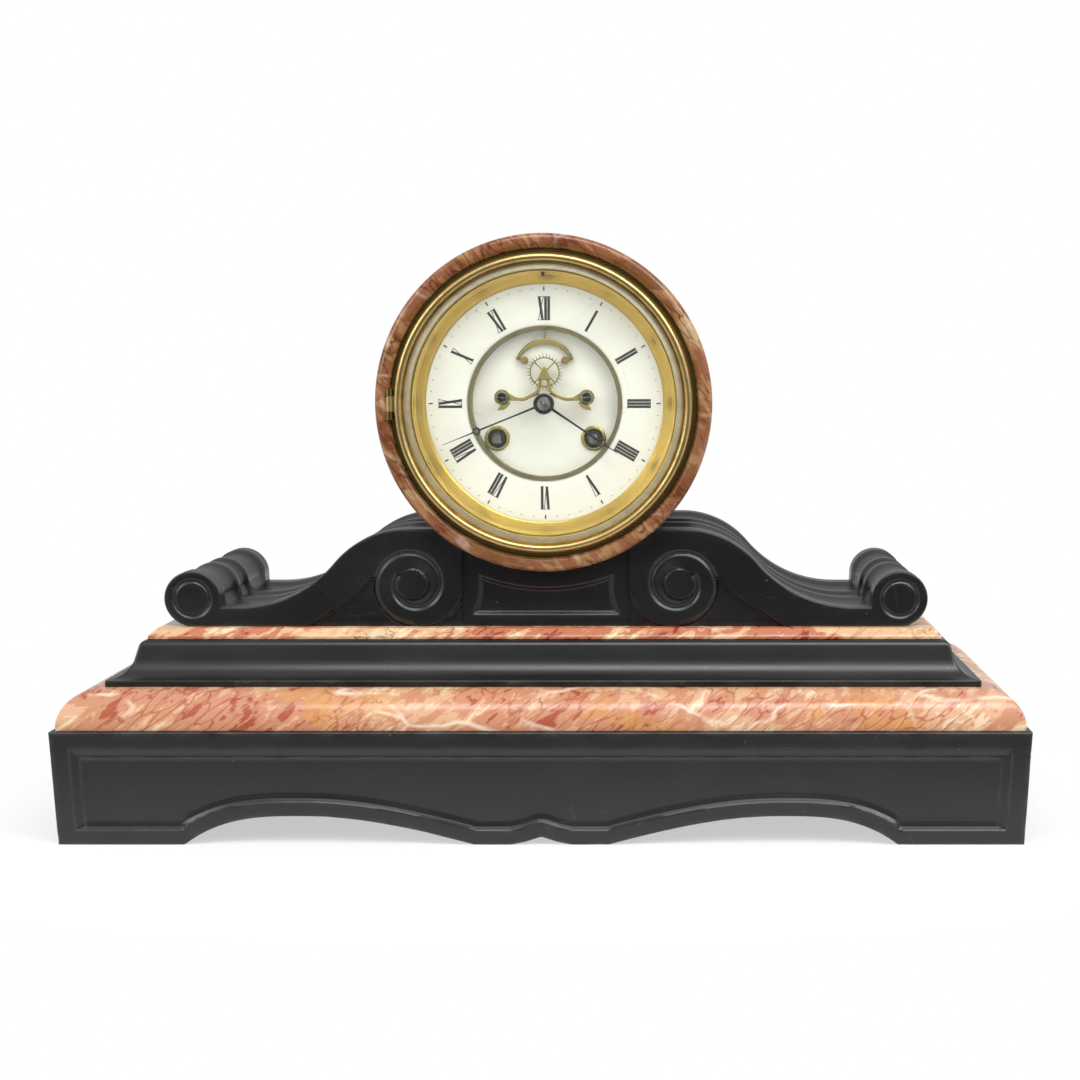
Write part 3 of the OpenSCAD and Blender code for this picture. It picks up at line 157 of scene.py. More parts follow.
def arc(cx, cy, r, a0, a1, n):
    """n points on a circle's arc from angle a0 to a1 in degrees."""
    a = np.radians(np.linspace(a0, a1, n))
    return np.stack([cx + r * np.cos(a), cy + r * np.sin(a)], -1)


def outline(*parts):
    """Points and arcs, one after the other, as one profile."""
    return np.concatenate([np.atleast_2d(np.array(p, float)) for p in parts])


def refined(profile, step, closed=True):
    """The profile with points added so that none are further than step apart."""
    p = np.vstack([profile, profile[:1]]) if closed else profile
    out = []
    for a, b in zip(p[:-1], p[1:]):
        k = max(1, int(np.ceil(np.linalg.norm(b - a) / step)))
        out.append(a + (b - a) * np.arange(k)[:, None] / k)
    if not closed:
        out.append(p[-1:])
    return np.concatenate(out)


def eased(profile, radius, n=3):
    """The closed profile with each corner rounded: points on a parabola that leaves one side and
    joins the next at radius from the corner."""
    p = np.array(profile, float)
    before, after = np.roll(p, 1, 0) - p, np.roll(p, -1, 0) - p
    lb, la = (np.linalg.norm(side, axis=1)[:, None] for side in (before, after))
    a = p + before / lb * np.minimum(radius, lb * 0.45)
    b = p + after / la * np.minimum(radius, la * 0.45)
    t = np.linspace(0, 1, n)[None, :, None]
    curve = (1 - t) ** 2 * a[:, None] + 2 * t * (1 - t) * p[:, None] + t * t * b[:, None]
    return curve.reshape(-1, 2)


def lathe(profile, n=256, centre=(0, 0), closed=True):
    """A profile (radius, height) turned round the dial's axis: a closed one makes a ring, an open
    one starts and ends on the axis."""
    a = np.linspace(0, 2 * np.pi, n, endpoint=False)[None, :]
    r, z = profile[:, :1], profile[:, 1:]
    x, y = centre[0] + r * np.cos(a), centre[1] + r * np.sin(a)
    return on_dial(x, y, z + 0 * a), closed, True


# Materials
def linear(hex_colour):
    """An sRGB hex colour as linear red, green, blue and alpha."""
    c = np.array([int(hex_colour[i:i + 2], 16) for i in (1, 3, 5)]) / 255.0
    c = np.where(c <= 0.04045, c / 12.92, ((c + 0.055) / 1.055) ** 2.4)
    return (*c, 1.0)


def feed(tree, socket, value):
    """Links another node's output to the socket, or sets it to a number, vector or hex colour."""
    if isinstance(value, bpy.types.NodeSocket):
        tree.links.new(value, socket)
    else:
        socket.default_value = linear(value) if isinstance(value, str) else value


def add(tree, kind, inputs=(), out=0, stops=(), **settings):
    """A new node's output: its settings, the stops of its colour ramp as pairs of place and
    colour, and its inputs in order, or by name or number where they come as a dictionary."""
    node = tree.nodes.new("ShaderNode" + kind)
    for key, value in settings.items():
        setattr(node, key, value)
    for i, (at, colour) in enumerate(stops):
        if i == 0:
            node.color_ramp.elements.remove(node.color_ramp.elements[-1])
        stop = node.color_ramp.elements.new(at) if i else node.color_ramp.elements[0]
        stop.position, stop.color = at, linear(colour)
    for key, value in inputs.items() if isinstance(inputs, dict) else enumerate(inputs):
        feed(tree, node.inputs[key], value)
    return node.outputs[out]


def finished(name, recipe, *choices, **more):
    """A new material: what its recipe gives goes into its Principled shader."""
    m = bpy.data.materials.new(name)
    m.use_nodes = True
    for key, value in recipe(m.node_tree, *choices, **more).items():
        feed(m.node_tree, m.node_tree.nodes["Principled BSDF"].inputs[key], value)
    return m


def partly(m, share, other):
    """The material m, whose own shader gives way to another by share."""
    t = m.node_tree
    mix = add(t, "MixShader", [share, t.nodes["Principled BSDF"].outputs[0], other])
    feed(t, t.nodes["Material Output"].inputs["Surface"], mix)
    return m


def rise(t, value, low, high):
    """0 at low and beyond it, 1 at high and beyond it, and straight between."""
    line = [value, 1 / (high - low), -low / (high - low)]
    return add(t, "Math", line, operation="MULTIPLY_ADD", use_clamp=True)


def product(t, share, *others):
    """The shares multiplied."""
    for other in others:
        share = add(t, "Math", [share, other], operation="MULTIPLY")
    return share


def weighed(t, base, *parts):
    """The base plus each pattern times its weight."""
    for pattern, weight in parts:
        base = add(t, "Math", [pattern, weight, base], operation="MULTIPLY_ADD")
    return base


def over(t, base, top, *shares):
    """The colour top laid over base by the product of the shares."""
    inputs = {0: product(t, *shares), 6: base, 7: top}
    return add(t, "Mix", inputs, out=2, data_type="RGBA", clamp_result=True)


def place(t, size, turn=(0, 0, 0), shift=(0, 0, 0), warp=None):
    """Object coordinates in millimetres: turned by degrees, shifted, divided by size and, where
    asked, pushed about by noise of the scale and the amount in warp."""
    spot = [add(t, "TexCoord", out="Object"), [v / 1000 for v in shift], [radians(v) for v in turn]]
    at = add(t, "Mapping", {"Vector": add(t, "Mapping", spot), "Scale": [1000.0 / v for v in size]})
    if warp is None:
        return at
    wave = add(t, "TexNoise", {"Vector": at, "Scale": warp[0], "Detail": 2}, out="Color")
    centred = add(t, "VectorMath", [wave, (0.5, 0.5, 0.5)], operation="SUBTRACT")
    push = add(t, "VectorMath", {0: centred, "Scale": warp[1]}, operation="SCALE")
    return add(t, "VectorMath", [at, push], operation="ADD")


def clouds(t, size, detail=3, rough=0.5, span=None, **where):
    """Noise whose clouds are size millimetres across, as a rise over span where one is given."""
    at = place(t, size, **where)
    cloud = add(t, "TexNoise", {"Vector": at, "Scale": 1, "Detail": detail, "Roughness": rough})
    return rise(t, cloud, *span) if span else cloud


def cracks(t, size, width, **where):
    """Thin lines on the borders of random cells of size millimetres: 1 on a line, 0 off it.
    width is a line's half width as a share of a cell."""
    at = place(t, size, **where)
    gap = add(t, "TexVoronoi", {"Vector": at, "Scale": 1}, feature="DISTANCE_TO_EDGE")
    return rise(t, gap, width, 0)


def relief(t, height, strength, depth):
    """The normal of a relief whose depth is in millimetres."""
    return add(t, "Bump", {"Height": height, "Strength": strength, "Distance": depth / 1000})


def edge_wear_and_highlight(t):
    """The wear that a piece carries at each of its points, with painted highlight lines along the slate
    panel mouldings, 0 on the CAD nodes.
    """
    return add(t, "Attribute", out="Fac", attribute_name="worn")


def black_slate(t):
    """Fine black slate, sawn, rubbed flat and waxed: nearly black with a cold grey sheen, cloudy
    where the wax has worn, grey on worn edges and as a painted highlight along the panel
    mouldings, with a few pale scratches and specks."""
    cloud = clouds(t, (90, 90, 45), detail=5, rough=0.6)
    grain = clouds(t, (1.6, 1.6, 1.2), detail=4, rough=0.65)
    rubbed = clouds(t, (60, 14, 1.3), rough=0.6)
    stops = (0.3, "#0d0d0d"), (0.52, "#121213"), (0.72, "#1b1b1d")
    base = add(t, "ValToRGB", [cloud], stops=stops)
    base = over(t, base, "#2c2c2d", rise(t, grain, 0.45, 0.95), 0.25)
    # Pale grey on worn edges, and a painted highlight on the panel mouldings, both from the worn
    # attribute
    patchy_wear_and_highlight = product(t, edge_wear_and_highlight(t), clouds(t, (14, 14, 9), detail=5, span=(0.34, 0.72)))
    base = over(t, base, "#6b6966", patchy_wear_and_highlight, 0.45)
    dust = clouds(t, (2.6, 2.6, 2.6), detail=1, span=(0.79, 0.82), shift=(40, 7, 3))
    base = over(t, base, "#8b857a", dust, 0.45)
    scuffs = cracks(t, (38, 38, 26), 0.008, warp=(1.1, 0.7))
    rare = clouds(t, (22, 22, 17), detail=1, span=(0.63, 0.65))
    return {"IOR": 1.6, "Specular Tint": (0.97, 0.98, 1.0, 1.0),
            "Base Color": over(t, base, "#5d5a55", scuffs, rare, 0.25),
            "Roughness": weighed(t, 0.19, (cloud, 0.24), (rubbed, 0.05), (patchy_wear_and_highlight, 0.25)),
            "Normal": relief(t, weighed(t, grain, (rubbed, 0.2)), 0.07, 0.04)}


def red_marble(t, tones, orange, seam, shift, size=1.0, slant=38, vein=0.85, breccia=0.6):
    """Brecciated red marble, sawn and polished: slanting flakes of red, flesh and cream with crisp
    edges, clouds of orange with dark dendrites, red seams and thin winding white veins."""
    red, flesh, pale, cream = tones

    def laid(pattern, along, deep, across, *more, turn=0, move=0, **settings):
        """A pattern in the slab: its size along, into and up the slab, slanted and moved along."""
        return pattern(t, (along * size, deep * size, across * size), *more, turn=(0, turn, 0),
                       shift=(shift[0] + move, *shift[1:]), **settings)
    flakes = laid(clouds, 25, 18, 6.5, turn=slant, warp=(0.5, 2.2), detail=6, rough=0.58)
    crumbs = laid(clouds, 8, 7, 2.8, turn=slant, move=3, warp=(0.5, 1.2), detail=4, rough=0.6)
    ground = laid(clouds, 58, 46, 27, warp=(1.2, 0.9), detail=4, rough=0.55)
    mixed = weighed(t, 0, (flakes, 0.46), (crumbs, 0.2), (ground, 0.34))
    colour = add(t, "ValToRGB", [mixed], stops=zip(
        (0.37, 0.42, 0.435, 0.5, 0.515, 0.56, 0.572, 0.63, 0.65),
        (red, red, flesh, flesh, pale, pale, cream, cream, pale)))
    spread = laid(clouds, 56, 40, 26, move=31, warp=(1.2, 0.8), detail=4, rough=0.55)
    colour = over(t, colour, orange, rise(t, spread, 0.55, 0.585), 0.75)
    twigs = laid(cracks, 9, 9, 6, 0.05, warp=(2.0, 0.9))
    sparse = laid(clouds, 22, 20, 12, move=7, detail=2, span=(0.5, 0.6))
    colour = over(t, colour, "#2f211b", twigs, rise(t, spread, 0.58, 0.61), sparse, 0.85)
    seams = product(t, laid(cracks, 22, 18, 5.5, 0.075, turn=slant, move=-12, warp=(1.1, 0.9)),
                    laid(clouds, 60, 50, 30, move=90, detail=4, span=(0.43, 0.56)))
    colour = over(t, colour, seam, seams, breccia)
    veins = laid(cracks, 86, 64, 54, 0.024, move=9, warp=(2.2, 0.35))
    faded = laid(clouds, 24, 22, 18, move=55, span=(0.42, 0.6))
    colour = over(t, colour, "#f1dfc8", veins, faded, vein)
    grit = clouds(t, (2.2, 2.2, 2.2), detail=4, rough=0.6)
    chipped = product(t, edge_wear_and_highlight(t), rise(t, grit, 0.54, 0.74))
    return {"IOR": 1.5, "Base Color": over(t, colour, "#6e4a38", chipped, 0.6),
            "Roughness": weighed(t, 0.14, (grit, 0.16), (chipped, 0.4)),
            "Normal": relief(t, weighed(t, grit, (seams, -0.6)), 0.1, 0.08)}


def brass(t, bright, dull, rough=0.2, spots=0.35, deep=0.12, mottle=0.3):
    """Cast and turned brass, lacquered long ago: golden, with brown spots and fine turning lines
    where the lacquer has gone."""
    tarnish = clouds(t, (9, 9, 9), detail=5, rough=0.65)
    specks = clouds(t, (1.4, 1.4, 1.4), detail=2, span=(0.68, 0.79), shift=(3, 1, 8))
    colour = over(t, bright, dull, rise(t, tarnish, 0.44, 0.69), 0.8)
    lines = clouds(t, (30, 30, 0.8))
    return {"Metallic": 1.0, "Base Color": over(t, colour, "#4a3413", specks, spots),
            "Roughness": weighed(t, rough - 0.4 * mottle, (tarnish, mottle), (lines, 0.06)),
            "Normal": relief(t, lines, deep, 0.05)}


def enamel(t):
    """White vitreous enamel fired on copper: glossy, faintly uneven, with hairline scratches."""
    mist = clouds(t, (40, 40, 40))
    colour = add(t, "ValToRGB", [mist], stops=[(0.3, "#d8d5c9"), (0.7, "#e2dfd4")])
    lines = cracks(t, (46, 46, 31), 0.0045, turn=(0, 34, 0), shift=(11, 0, 4), warp=(0.8, 0.18))
    rare = clouds(t, (24, 24, 24), detail=1, span=(0.57, 0.6), shift=(5, 2, 9))
    return {"IOR": 1.55, "Coat Weight": 0.25, "Coat Roughness": 0.08,
            "Base Color": over(t, colour, "#9d978a", lines, rare, 0.5),
            "Roughness": weighed(t, 0.14, (mist, 0.1)),
            "Normal": relief(t, clouds(t, (7, 7, 7), detail=2), 0.06, 0.1)}


def steel(t, bright, dark, rough):
    """Turned steel, polished and partly darkened by age."""
    stain = clouds(t, (3.5, 3.5, 3.5), detail=4, rough=0.6)
    return {"Metallic": 1.0,
            "Base Color": add(t, "ValToRGB", [stain], stops=[(0.35, dark), (0.65, bright)]),
            "Roughness": weighed(t, rough, (stain, 0.25)),
            "Normal": relief(t, clouds(t, (0.5, 0.5, 4), detail=2), 0.1, 0.03)}


def printed(t):
    """Black ceramic ink fired into the enamel: matt, with the faint grain of its powder."""
    grain = clouds(t, (0.8, 0.8, 0.8))
    return {"IOR": 1.5, "Roughness": weighed(t, 0.45, (grain, 0.2)),
            "Base Color": add(t, "ValToRGB", [grain], stops=[(0.3, "#0b0b0d"), (0.75, "#19191c")])}


def clear_glass(t):
    """Plate glass, ground and polished, with a trace of its green."""
    return {"IOR": 1.5, "Roughness": 0.0, "Transmission Weight": 1.0, "Base Color": "#f8fbf9"}


def bevel_painted_reflection(t):
    """The glass's bevel: a painted silvery reflection laid into its colour, mottled by noise, with dust
    and old polish in it.
    """
    dust = clouds(t, (5, 5, 5), detail=4, rough=0.6)
    # Mostly opaque, with a painted silvery reflection as its base colour
    return {"IOR": 1.5, "Transmission Weight": 0.2, "Roughness": weighed(t, 0.25, (dust, 0.2)),
            "Base Color": add(t, "ValToRGB", [dust], stops=[(0.35, "#aea78c"), (0.65, "#c3bca2")])}


def ruby(t):
    """Polished red synthetic stone, ground to a half round pin."""
    depth = clouds(t, (2, 2, 2), detail=2)
    return {"IOR": 1.76, "Roughness": 0.05,
            "Base Color": add(t, "ValToRGB", [depth], stops=[(0.3, "#6a1512"), (0.7, "#a5342a")])}


def glass_of(name, recipe):
    """Glass that lamps shine through, so that what lies behind it is lit."""
    m = finished(name, recipe)
    t = m.node_tree
    return partly(m, add(t, "LightPath", out="Is Shadow Ray"), add(t, "BsdfTransparent"))


SLATE = finished("waxed_black_slate", black_slate)
BASE_MARBLE = finished(
    "polished_red_marble", red_marble, ("#aa5840", "#c68c6c", "#d6a986", "#e6cbab"), "#cf955c",
    "#a34b36", (0, 0, 0), breccia=0.8)
TOP_MARBLE = finished(
    "polished_red_marble_thin_slab", red_marble, ("#963c29", "#c07a5a", "#dbb08a", "#ecd6ae"),
    "#e2bf92", "#8f3b26", (61, 20, 13), size=0.9, slant=30)
DRUM_MARBLE = finished(
    "polished_red_marble_drum_ring", red_marble, ("#79422d", "#935f40", "#a97e57", "#bf9e76"),
    "#7c4e2a", "#572617", (17, 40, 71), size=0.95, slant=-50, vein=0.3, breccia=0.9)
BRASS = finished("aged_lacquered_brass", brass, "#ab9a5c", "#8b7c49", spots=0.2, mottle=0.2)
BEZEL_BRASS = finished("polished_brass_bezel", brass, "#dcc182", "#b59b5e", rough=0.34, spots=0.2,
                       deep=0.02, mottle=0.15)
GILT = finished("gilt_brass_slip", brass, "#dfbd62", "#d8b457", rough=0.27, spots=0.04, deep=0.01,
                mottle=0.03)
DARK_BRASS = finished("darkened_brass_band", brass, "#857a58", "#665d40", rough=0.26)
WHITE = finished("fired_white_enamel", enamel)
INK = finished("fired_black_ink", printed)
STEEL = finished("polished_steel", steel, "#8f8d87", "#4a4945", 0.24)
BLUED = finished("darkened_steel", steel, "#3a3a40", "#1d1d22", 0.28)
GREY_SCREW = finished("greyed_screw_steel", steel, "#98947c", "#6d6a57", 0.34)
GLASS = glass_of("bevelled_plate_glass", clear_glass)
BEVEL = glass_of("glass_bevel_painted_reflection", bevel_painted_reflection)
RUBY = finished("polished_red_jewel", ruby)

# Which finish each CAD node gets that stays as it is
OWN_FINISH = {"dial_centre_band": DARK_BRASS}
FINISHES = {"black_slate": SLATE, "red_marble": BASE_MARBLE, "dark_marble": DRUM_MARBLE,
            "brass": BRASS, "glass": GLASS, "enamel": WHITE, "steel": STEEL, "blued_steel": BLUED,
            "jewel": RUBY}
for part in frame["record"]["subparts"]:
    node = frame["nodes"][part["node"]]
    node.data.materials.clear()
    node.data.materials.append(OWN_FINISH.get(part["node"], FINISHES[part["material_slot"]]))


def stone(name, built, node, finish=SLATE, sharp=32):
    """A stone piece of the case from its grids and their wear, with painted highlight where given, in
    place of its CAD node.
    """
    grids, worn = built
    piece(name, grids, "root", finish, [node], sharp, worn)


# Slabs of the plinth: distances from an edge, close together where the edge is rounded
EDGE_ROUND, EDGE_FADE = 0.7, 0.9
CHIP_SIZE, CHIP_RARITY, CHIP_REACH = 9, 0.62, 0.8
NEAR_EDGE = [0, .15, .35, .6, .9, 1.3]


def rounded_edge(d, r):
    """How far a face falls back at distance d from an edge that is rounded to radius r."""
    d = np.clip(r - d, 0, r)
    return r - np.sqrt(np.maximum(r * r - d * d, 0))


def near_ends(a, b, step):
    """Numbers from a to b, closer together near both ends."""
    near = np.array(NEAR_EDGE + [2.5])
    return np.concatenate([a + near, np.arange(a + 5, b - 4, step), (b - near)[::-1]])


def rim_of(grid):
    """The outermost points of a grid, in order round it."""
    return np.concatenate([grid[:-1, 0], grid[-1, :-1], grid[:0:-1, -1], grid[0, :0:-1]])


def slab(face, axis, depth, worn, rim_wear=1):
    """A closed slab and its wear, with any painted highlight carried in it: a face given point by
    point, the same face pressed flat at depth on an axis, and the rim between them."""
    flat = face.copy()
    flat[..., axis] = depth
    grids = [(face, False, False), (flat, False, False),
             (np.stack([rim_of(face), rim_of(flat)]), False, True)]
    return grids, [worn, 0 * worn, np.stack([rim_of(worn), rim_of(0 * worn)]) * rim_wear]


def arch_height(x):
    """Height of the cut-out at distance x from the middle: zero on the outer feet, a cubic rise
    to the peak, a cosine fall to the middle foot, and a small point in its middle."""
    x = np.abs(x)
    edge = PLINTH_W / 2 - BATTER - FOOT
    up = ARCH_H * (1 - np.clip((x - ARCH_PEAK) / (edge - ARCH_PEAK), 0, 1) ** 3)
    fall = ARCH_H * np.cos(np.pi / 2 * np.clip((ARCH_PEAK - x) / (ARCH_PEAK - ARCH_END), 0, 1))
    point = CUSP * np.interp(x, [0, 0.24 * ARCH_END, 0.45 * ARCH_END], [1, 0.35, 0])
    return np.where(x > edge, 0, np.where(x > ARCH_PEAK, up, np.where(x > ARCH_END, fall, point)))


def sunk(d, width):
    """Depth at distance d inside the panel's edge: a small step, a slope over the moulding's
    width and a ridge at its foot."""
    step, slope, ridge = 0.6, 1.3, 0.4
    return (step * smooth(d / 0.5) + slope * smooth((d - 0.4) / (width - 0.4))
            - ridge * np.exp(-((d - width) / 0.7) ** 2))


def plinth_face():
    """The front: rows keep their distance from the arch below and from the top above, columns
    lean with the batter, and the depth is a sunk moulded panel with rounded outer edges."""
    half = PLINTH_W / 2
    side = np.array(NEAR_EDGE + [3, 6, 8, 9, 9.3, 9.6, 10, 10.6, 11.4, 12.4, 13.2, 13.8, 14.2, 14.6,
                                 15.2, 18, 23]) / half
    inner = 1 - 26 / half
    u = np.concatenate([side - 1, np.linspace(-inner, inner, 430), (1 - side)[::-1]])
    low = np.array(NEAR_EDGE + [2.5, 4.5, 6.2, 7.2, 7.8, 8.1, 8.5, 9, 9.5, 10, 10.4, 10.8, 11.4,
                                12.5])
    high = np.array(NEAR_EDGE + [2.5, 4.2, 6, 7.4, 7.9, 8.2, 8.6, 9.2, 10, 11, 11.8, 12.4, 12.8,
                                 13.3, 14])
    x0 = u * half
    floor = arch_height(x0)
    middle = np.linspace(0, 1, 26)[1:-1]
    z0 = floor[:, None]
    z = np.concatenate([z0 + low, z0 + low[-1] + (PLINTH_H - high[-1] - low[-1] - z0) * middle,
                        np.broadcast_to(PLINTH_H - high[::-1], (len(u), len(high)))], 1)
    half_z = half - BATTER * (1 - z / PLINTH_H)
    x = u[:, None] * half_z
    from_low = (z - z0) / np.sqrt(1 + np.gradient(floor, x0) ** 2)[:, None]
    from_top = PLINTH_H - z
    from_side = half_z - np.abs(x)
    edge = np.minimum(np.minimum(from_low, from_top), from_side)
    into = np.minimum(from_top - PANEL_TOP, from_side - PANEL_SIDE)
    depth = np.minimum(sunk(into, PANEL_MOULDING), sunk(from_low - PANEL_LOW, 2.6))
    p = np.stack([x, 0 * x, z], -1)
    chip = chips(p, CHIP_SIZE, CHIP_RARITY, 3) * 2.4 * lattice(p / 2.2, 4)
    p[..., 1] = (FRONT + np.maximum(depth, 0) + rounded_edge(edge, EDGE_ROUND)
                 + chip * np.exp(-edge / CHIP_REACH))
    # The moulding's lines carry a painted highlight in the worn attribute, each only where it bounds
    # the panel
    off = 9
    lines = np.minimum(np.abs(into), np.abs(into - PANEL_MOULDING)) + off * (from_low < PANEL_LOW)
    low_highlight_line = np.abs(from_low - PANEL_LOW) + off * (into < 0)
    # Real wear on the rounded edges, plus the painted highlight lines of the moulding
    worn = np.exp(-edge / EDGE_FADE) + 0.55 * np.exp(-np.minimum(lines, low_highlight_line) / 0.5)
    return slab(p, 1, FRONT + SLAB_T, np.clip(worn, 0, 1))


def end_slab(side):
    """An end of the plinth: a plane that leans out by the batter, its edges rounded."""
    y, z = np.meshgrid(near_ends(FRONT + SLAB_T, BACK - SLAB_T, 3.0), near_ends(0, PLINTH_H, 2.5),
                       indexing="ij")
    joint = np.minimum(y - (FRONT + SLAB_T), BACK - SLAB_T - y) + 4
    edge = np.minimum(joint, np.minimum(z, PLINTH_H - z))
    lean = PLINTH_W / 2 - BATTER * (1 - z / PLINTH_H) - rounded_edge(edge, EDGE_ROUND)
    chip = chips(np.stack([0 * y + 50, y, z], -1), CHIP_SIZE, CHIP_RARITY, 5) * 1.6
    face = np.stack([side * (lean - chip * np.exp(-edge / CHIP_REACH)), y, z], -1)
    return slab(face, 0, side * (PLINTH_W / 2 - BATTER - SLAB_T), np.exp(-edge / EDGE_FADE))


def rear_slab():
    """The back of the plinth: a flat face that follows the battered ends, its edges rounded."""
    half = PLINTH_W / 2
    u, z = np.meshgrid(near_ends(-half, half, 4.0), near_ends(0, PLINTH_H, 2.5), indexing="ij")
    edge = np.minimum(np.minimum(half - np.abs(u), z), PLINTH_H - z)
    face = np.stack([u / half * (half - BATTER * (1 - z / PLINTH_H)),
                     BACK - rounded_edge(edge, EDGE_ROUND), z], -1)
    return slab(face, 1, BACK - SLAB_T, np.exp(-edge / EDGE_FADE))


stone("plinth_front_slab", plinth_face(), "plinth_front")
stone("plinth_left_slab", end_slab(-1), "plinth_left_side")
stone("plinth_right_slab", end_slab(1), "plinth_right_side")
stone("plinth_rear_slab", rear_slab(), "plinth_back")

# Tiers of the base
CORNER = 1.0
CORE_Y = 20


def tier(profile, wear, seed, chip=0.8):
    """Each profile row (inset, height) becomes a loop round the block: a rectangle with slightly
    rounded corners, inset on the front and both ends and flush at the back. Wear rows are dented
    inwards by noise. The first and last rows close to a line in the middle."""
    hx = PLINTH_W / 2 - CORNER - profile[:, :1]
    yf, yb = FRONT + CORNER + profile[:, :1], BACK - CORNER + 0 * hx
    front, end, back = (np.linspace(0, 1, n, endpoint=False)[None, :] for n in (330, 100, 60))
    a = np.radians(np.linspace(0, 90, 5))[None, :]
    sin, cos = CORNER * np.sin(a), CORNER * np.cos(a)
    x = np.concatenate([-hx + 2 * hx * front, hx + sin, hx + CORNER + 0 * end, hx + cos,
                        hx - 2 * hx * back, -hx - sin, -hx - CORNER + 0 * end, -hx - cos], 1)
    y = np.concatenate([yf - CORNER + 0 * front, yf - cos, yf + (yb - yf) * end, yb + sin,
                        yb + CORNER + 0 * back, yb + cos, yb - (yb - yf) * end, yf - sin], 1)
    p = np.stack([x, y, profile[:, 1:] + 0 * x], -1)
    dent = 0.25 * lattice(p / 2.5, seed) + 3 * chip * chips(p, 7, 0.68, seed + 1)
    inwards = np.stack([-np.sign(x) * (np.abs(x) > hx - CORNER),
                        1.0 * (y < yf + CORNER) - (y > yb - CORNER), 0 * x], -1)
    p = p + inwards * (wear[:, None] * dent)[..., None]
    core = p[[0, -1]] * [0.5, 0.1, 1] + [0, CORE_Y, 0]
    line = core * [0, 0, 1] + [0, CORE_Y, 0]
    p = np.concatenate([line[:1], core[:1], p, core[1:], line[1:]])
    return [(p, False, True)], [np.concatenate([[0, 0], wear, [0, 0]])[:, None] + 0 * p[..., 0]]


def wear_rows(profile, corner, reach):
    """1 at the given corner of a profile, fading out over reach."""
    return np.exp(-np.linalg.norm(profile - np.array(corner), axis=1) / reach)


LOWER = refined(outline(
    (60, LOWER_Z), (3.0, LOWER_Z), (2.5, LOWER_Z + 0.4), arc(20, LOWER_Z + 1.5, 17.5, 180, 91, 22),
    (20.4, MOULDING_Z), (60, MOULDING_Z)), 3.0, closed=False)
stone("lower_marble_slab_polished", tier(LOWER, wear_rows(LOWER, (2.5, LOWER_Z), 1.2), 11),
      "lower_marble_slab", BASE_MARBLE)

# The moulding is an ogee: a low upright foot, a hollow, and a round nose that is tangent to it
FOOT_IN, FOOT_H = 22.0, 3.2
HOLLOW, NOSE, NOSE_IN, NOSE_UP, TANGENT = 12.5, 3.8, 17.5, 17.7, -15.7
MOULD = refined(outline(
    (75, MOULDING_Z), (FOOT_IN + .3, MOULDING_Z), (FOOT_IN, MOULDING_Z + .3),
    (FOOT_IN, MOULDING_Z + FOOT_H - .3), (FOOT_IN + .3, MOULDING_Z + FOOT_H),
    arc(FOOT_IN, MOULDING_Z + FOOT_H + HOLLOW, HOLLOW, -86, TANGENT, 22),
    arc(FOOT_IN + NOSE_IN, MOULDING_Z + NOSE_UP, NOSE, 180 + TANGENT, 92, 14),
    (75, UPPER_Z)), 3.0, closed=False)
worn = wear_rows(MOULD, (FOOT_IN, MOULDING_Z + 2), 0.9)
stone("slate_moulding_run", tier(MOULD, worn, 21, chip=0.3), "slate_moulding", sharp=40)

TOP_IN = 39.5
UPPER = refined(outline(
    (80, UPPER_Z), (TOP_IN + .5, UPPER_Z), (TOP_IN, UPPER_Z + .5), (TOP_IN, UPPER_Z + 1.7),
    (TOP_IN + .6, UPPER_Z + 2.5), (TOP_IN + 3.9, UPPER_Z + 5.1), (TOP_IN + 4.7, BLOCK_Z),
    (80, BLOCK_Z)), 1.0, closed=False)
worn = wear_rows(UPPER, (TOP_IN, UPPER_Z + 1), 1.5)
stone("upper_marble_slab_polished", tier(UPPER, worn, 31, chip=1.4), "upper_marble_slab",
      TOP_MARBLE)

# Scrolls
VOLUTE_X, VOLUTE_R = 184.0, 14.4
VOLUTE_Z = BLOCK_Z + VOLUTE_R
LOW_X, LOW_H, HIGH_X, HOLLOW_R = 160.0, 10.0, 72.0, 66.0
JOINT_X = 43.5
JOINT_GAP = 0.15
BIG_X, BIG_R = 69.4, 22.0
BLOCK_SET_BACK = 1.8
# The big volute's groove: turns clockwise from its left, and its radius there
SPIRAL = [(0.75, 21.4), (1.0, 19.0), (1.25, 16.3), (1.5, 14.9), (1.75, 12.2), (2.0, 9.5), (2.1, 8.9)]
EYE_R = 8.3
SPIRAL_START = 27.0
# Shares of the scroll's depth at the borders of its flutes
FLUTES = [0, .1, .38, .42, .58, .62, .9, 1]


def under_drum(x):
    """Height of the case below the drum at x: level, and cut by the drum's circle."""
    return np.minimum(SCROLL_TOP, DRUM_Z - np.sqrt((DRUM_R + JOINT_GAP) ** 2 - x ** 2))


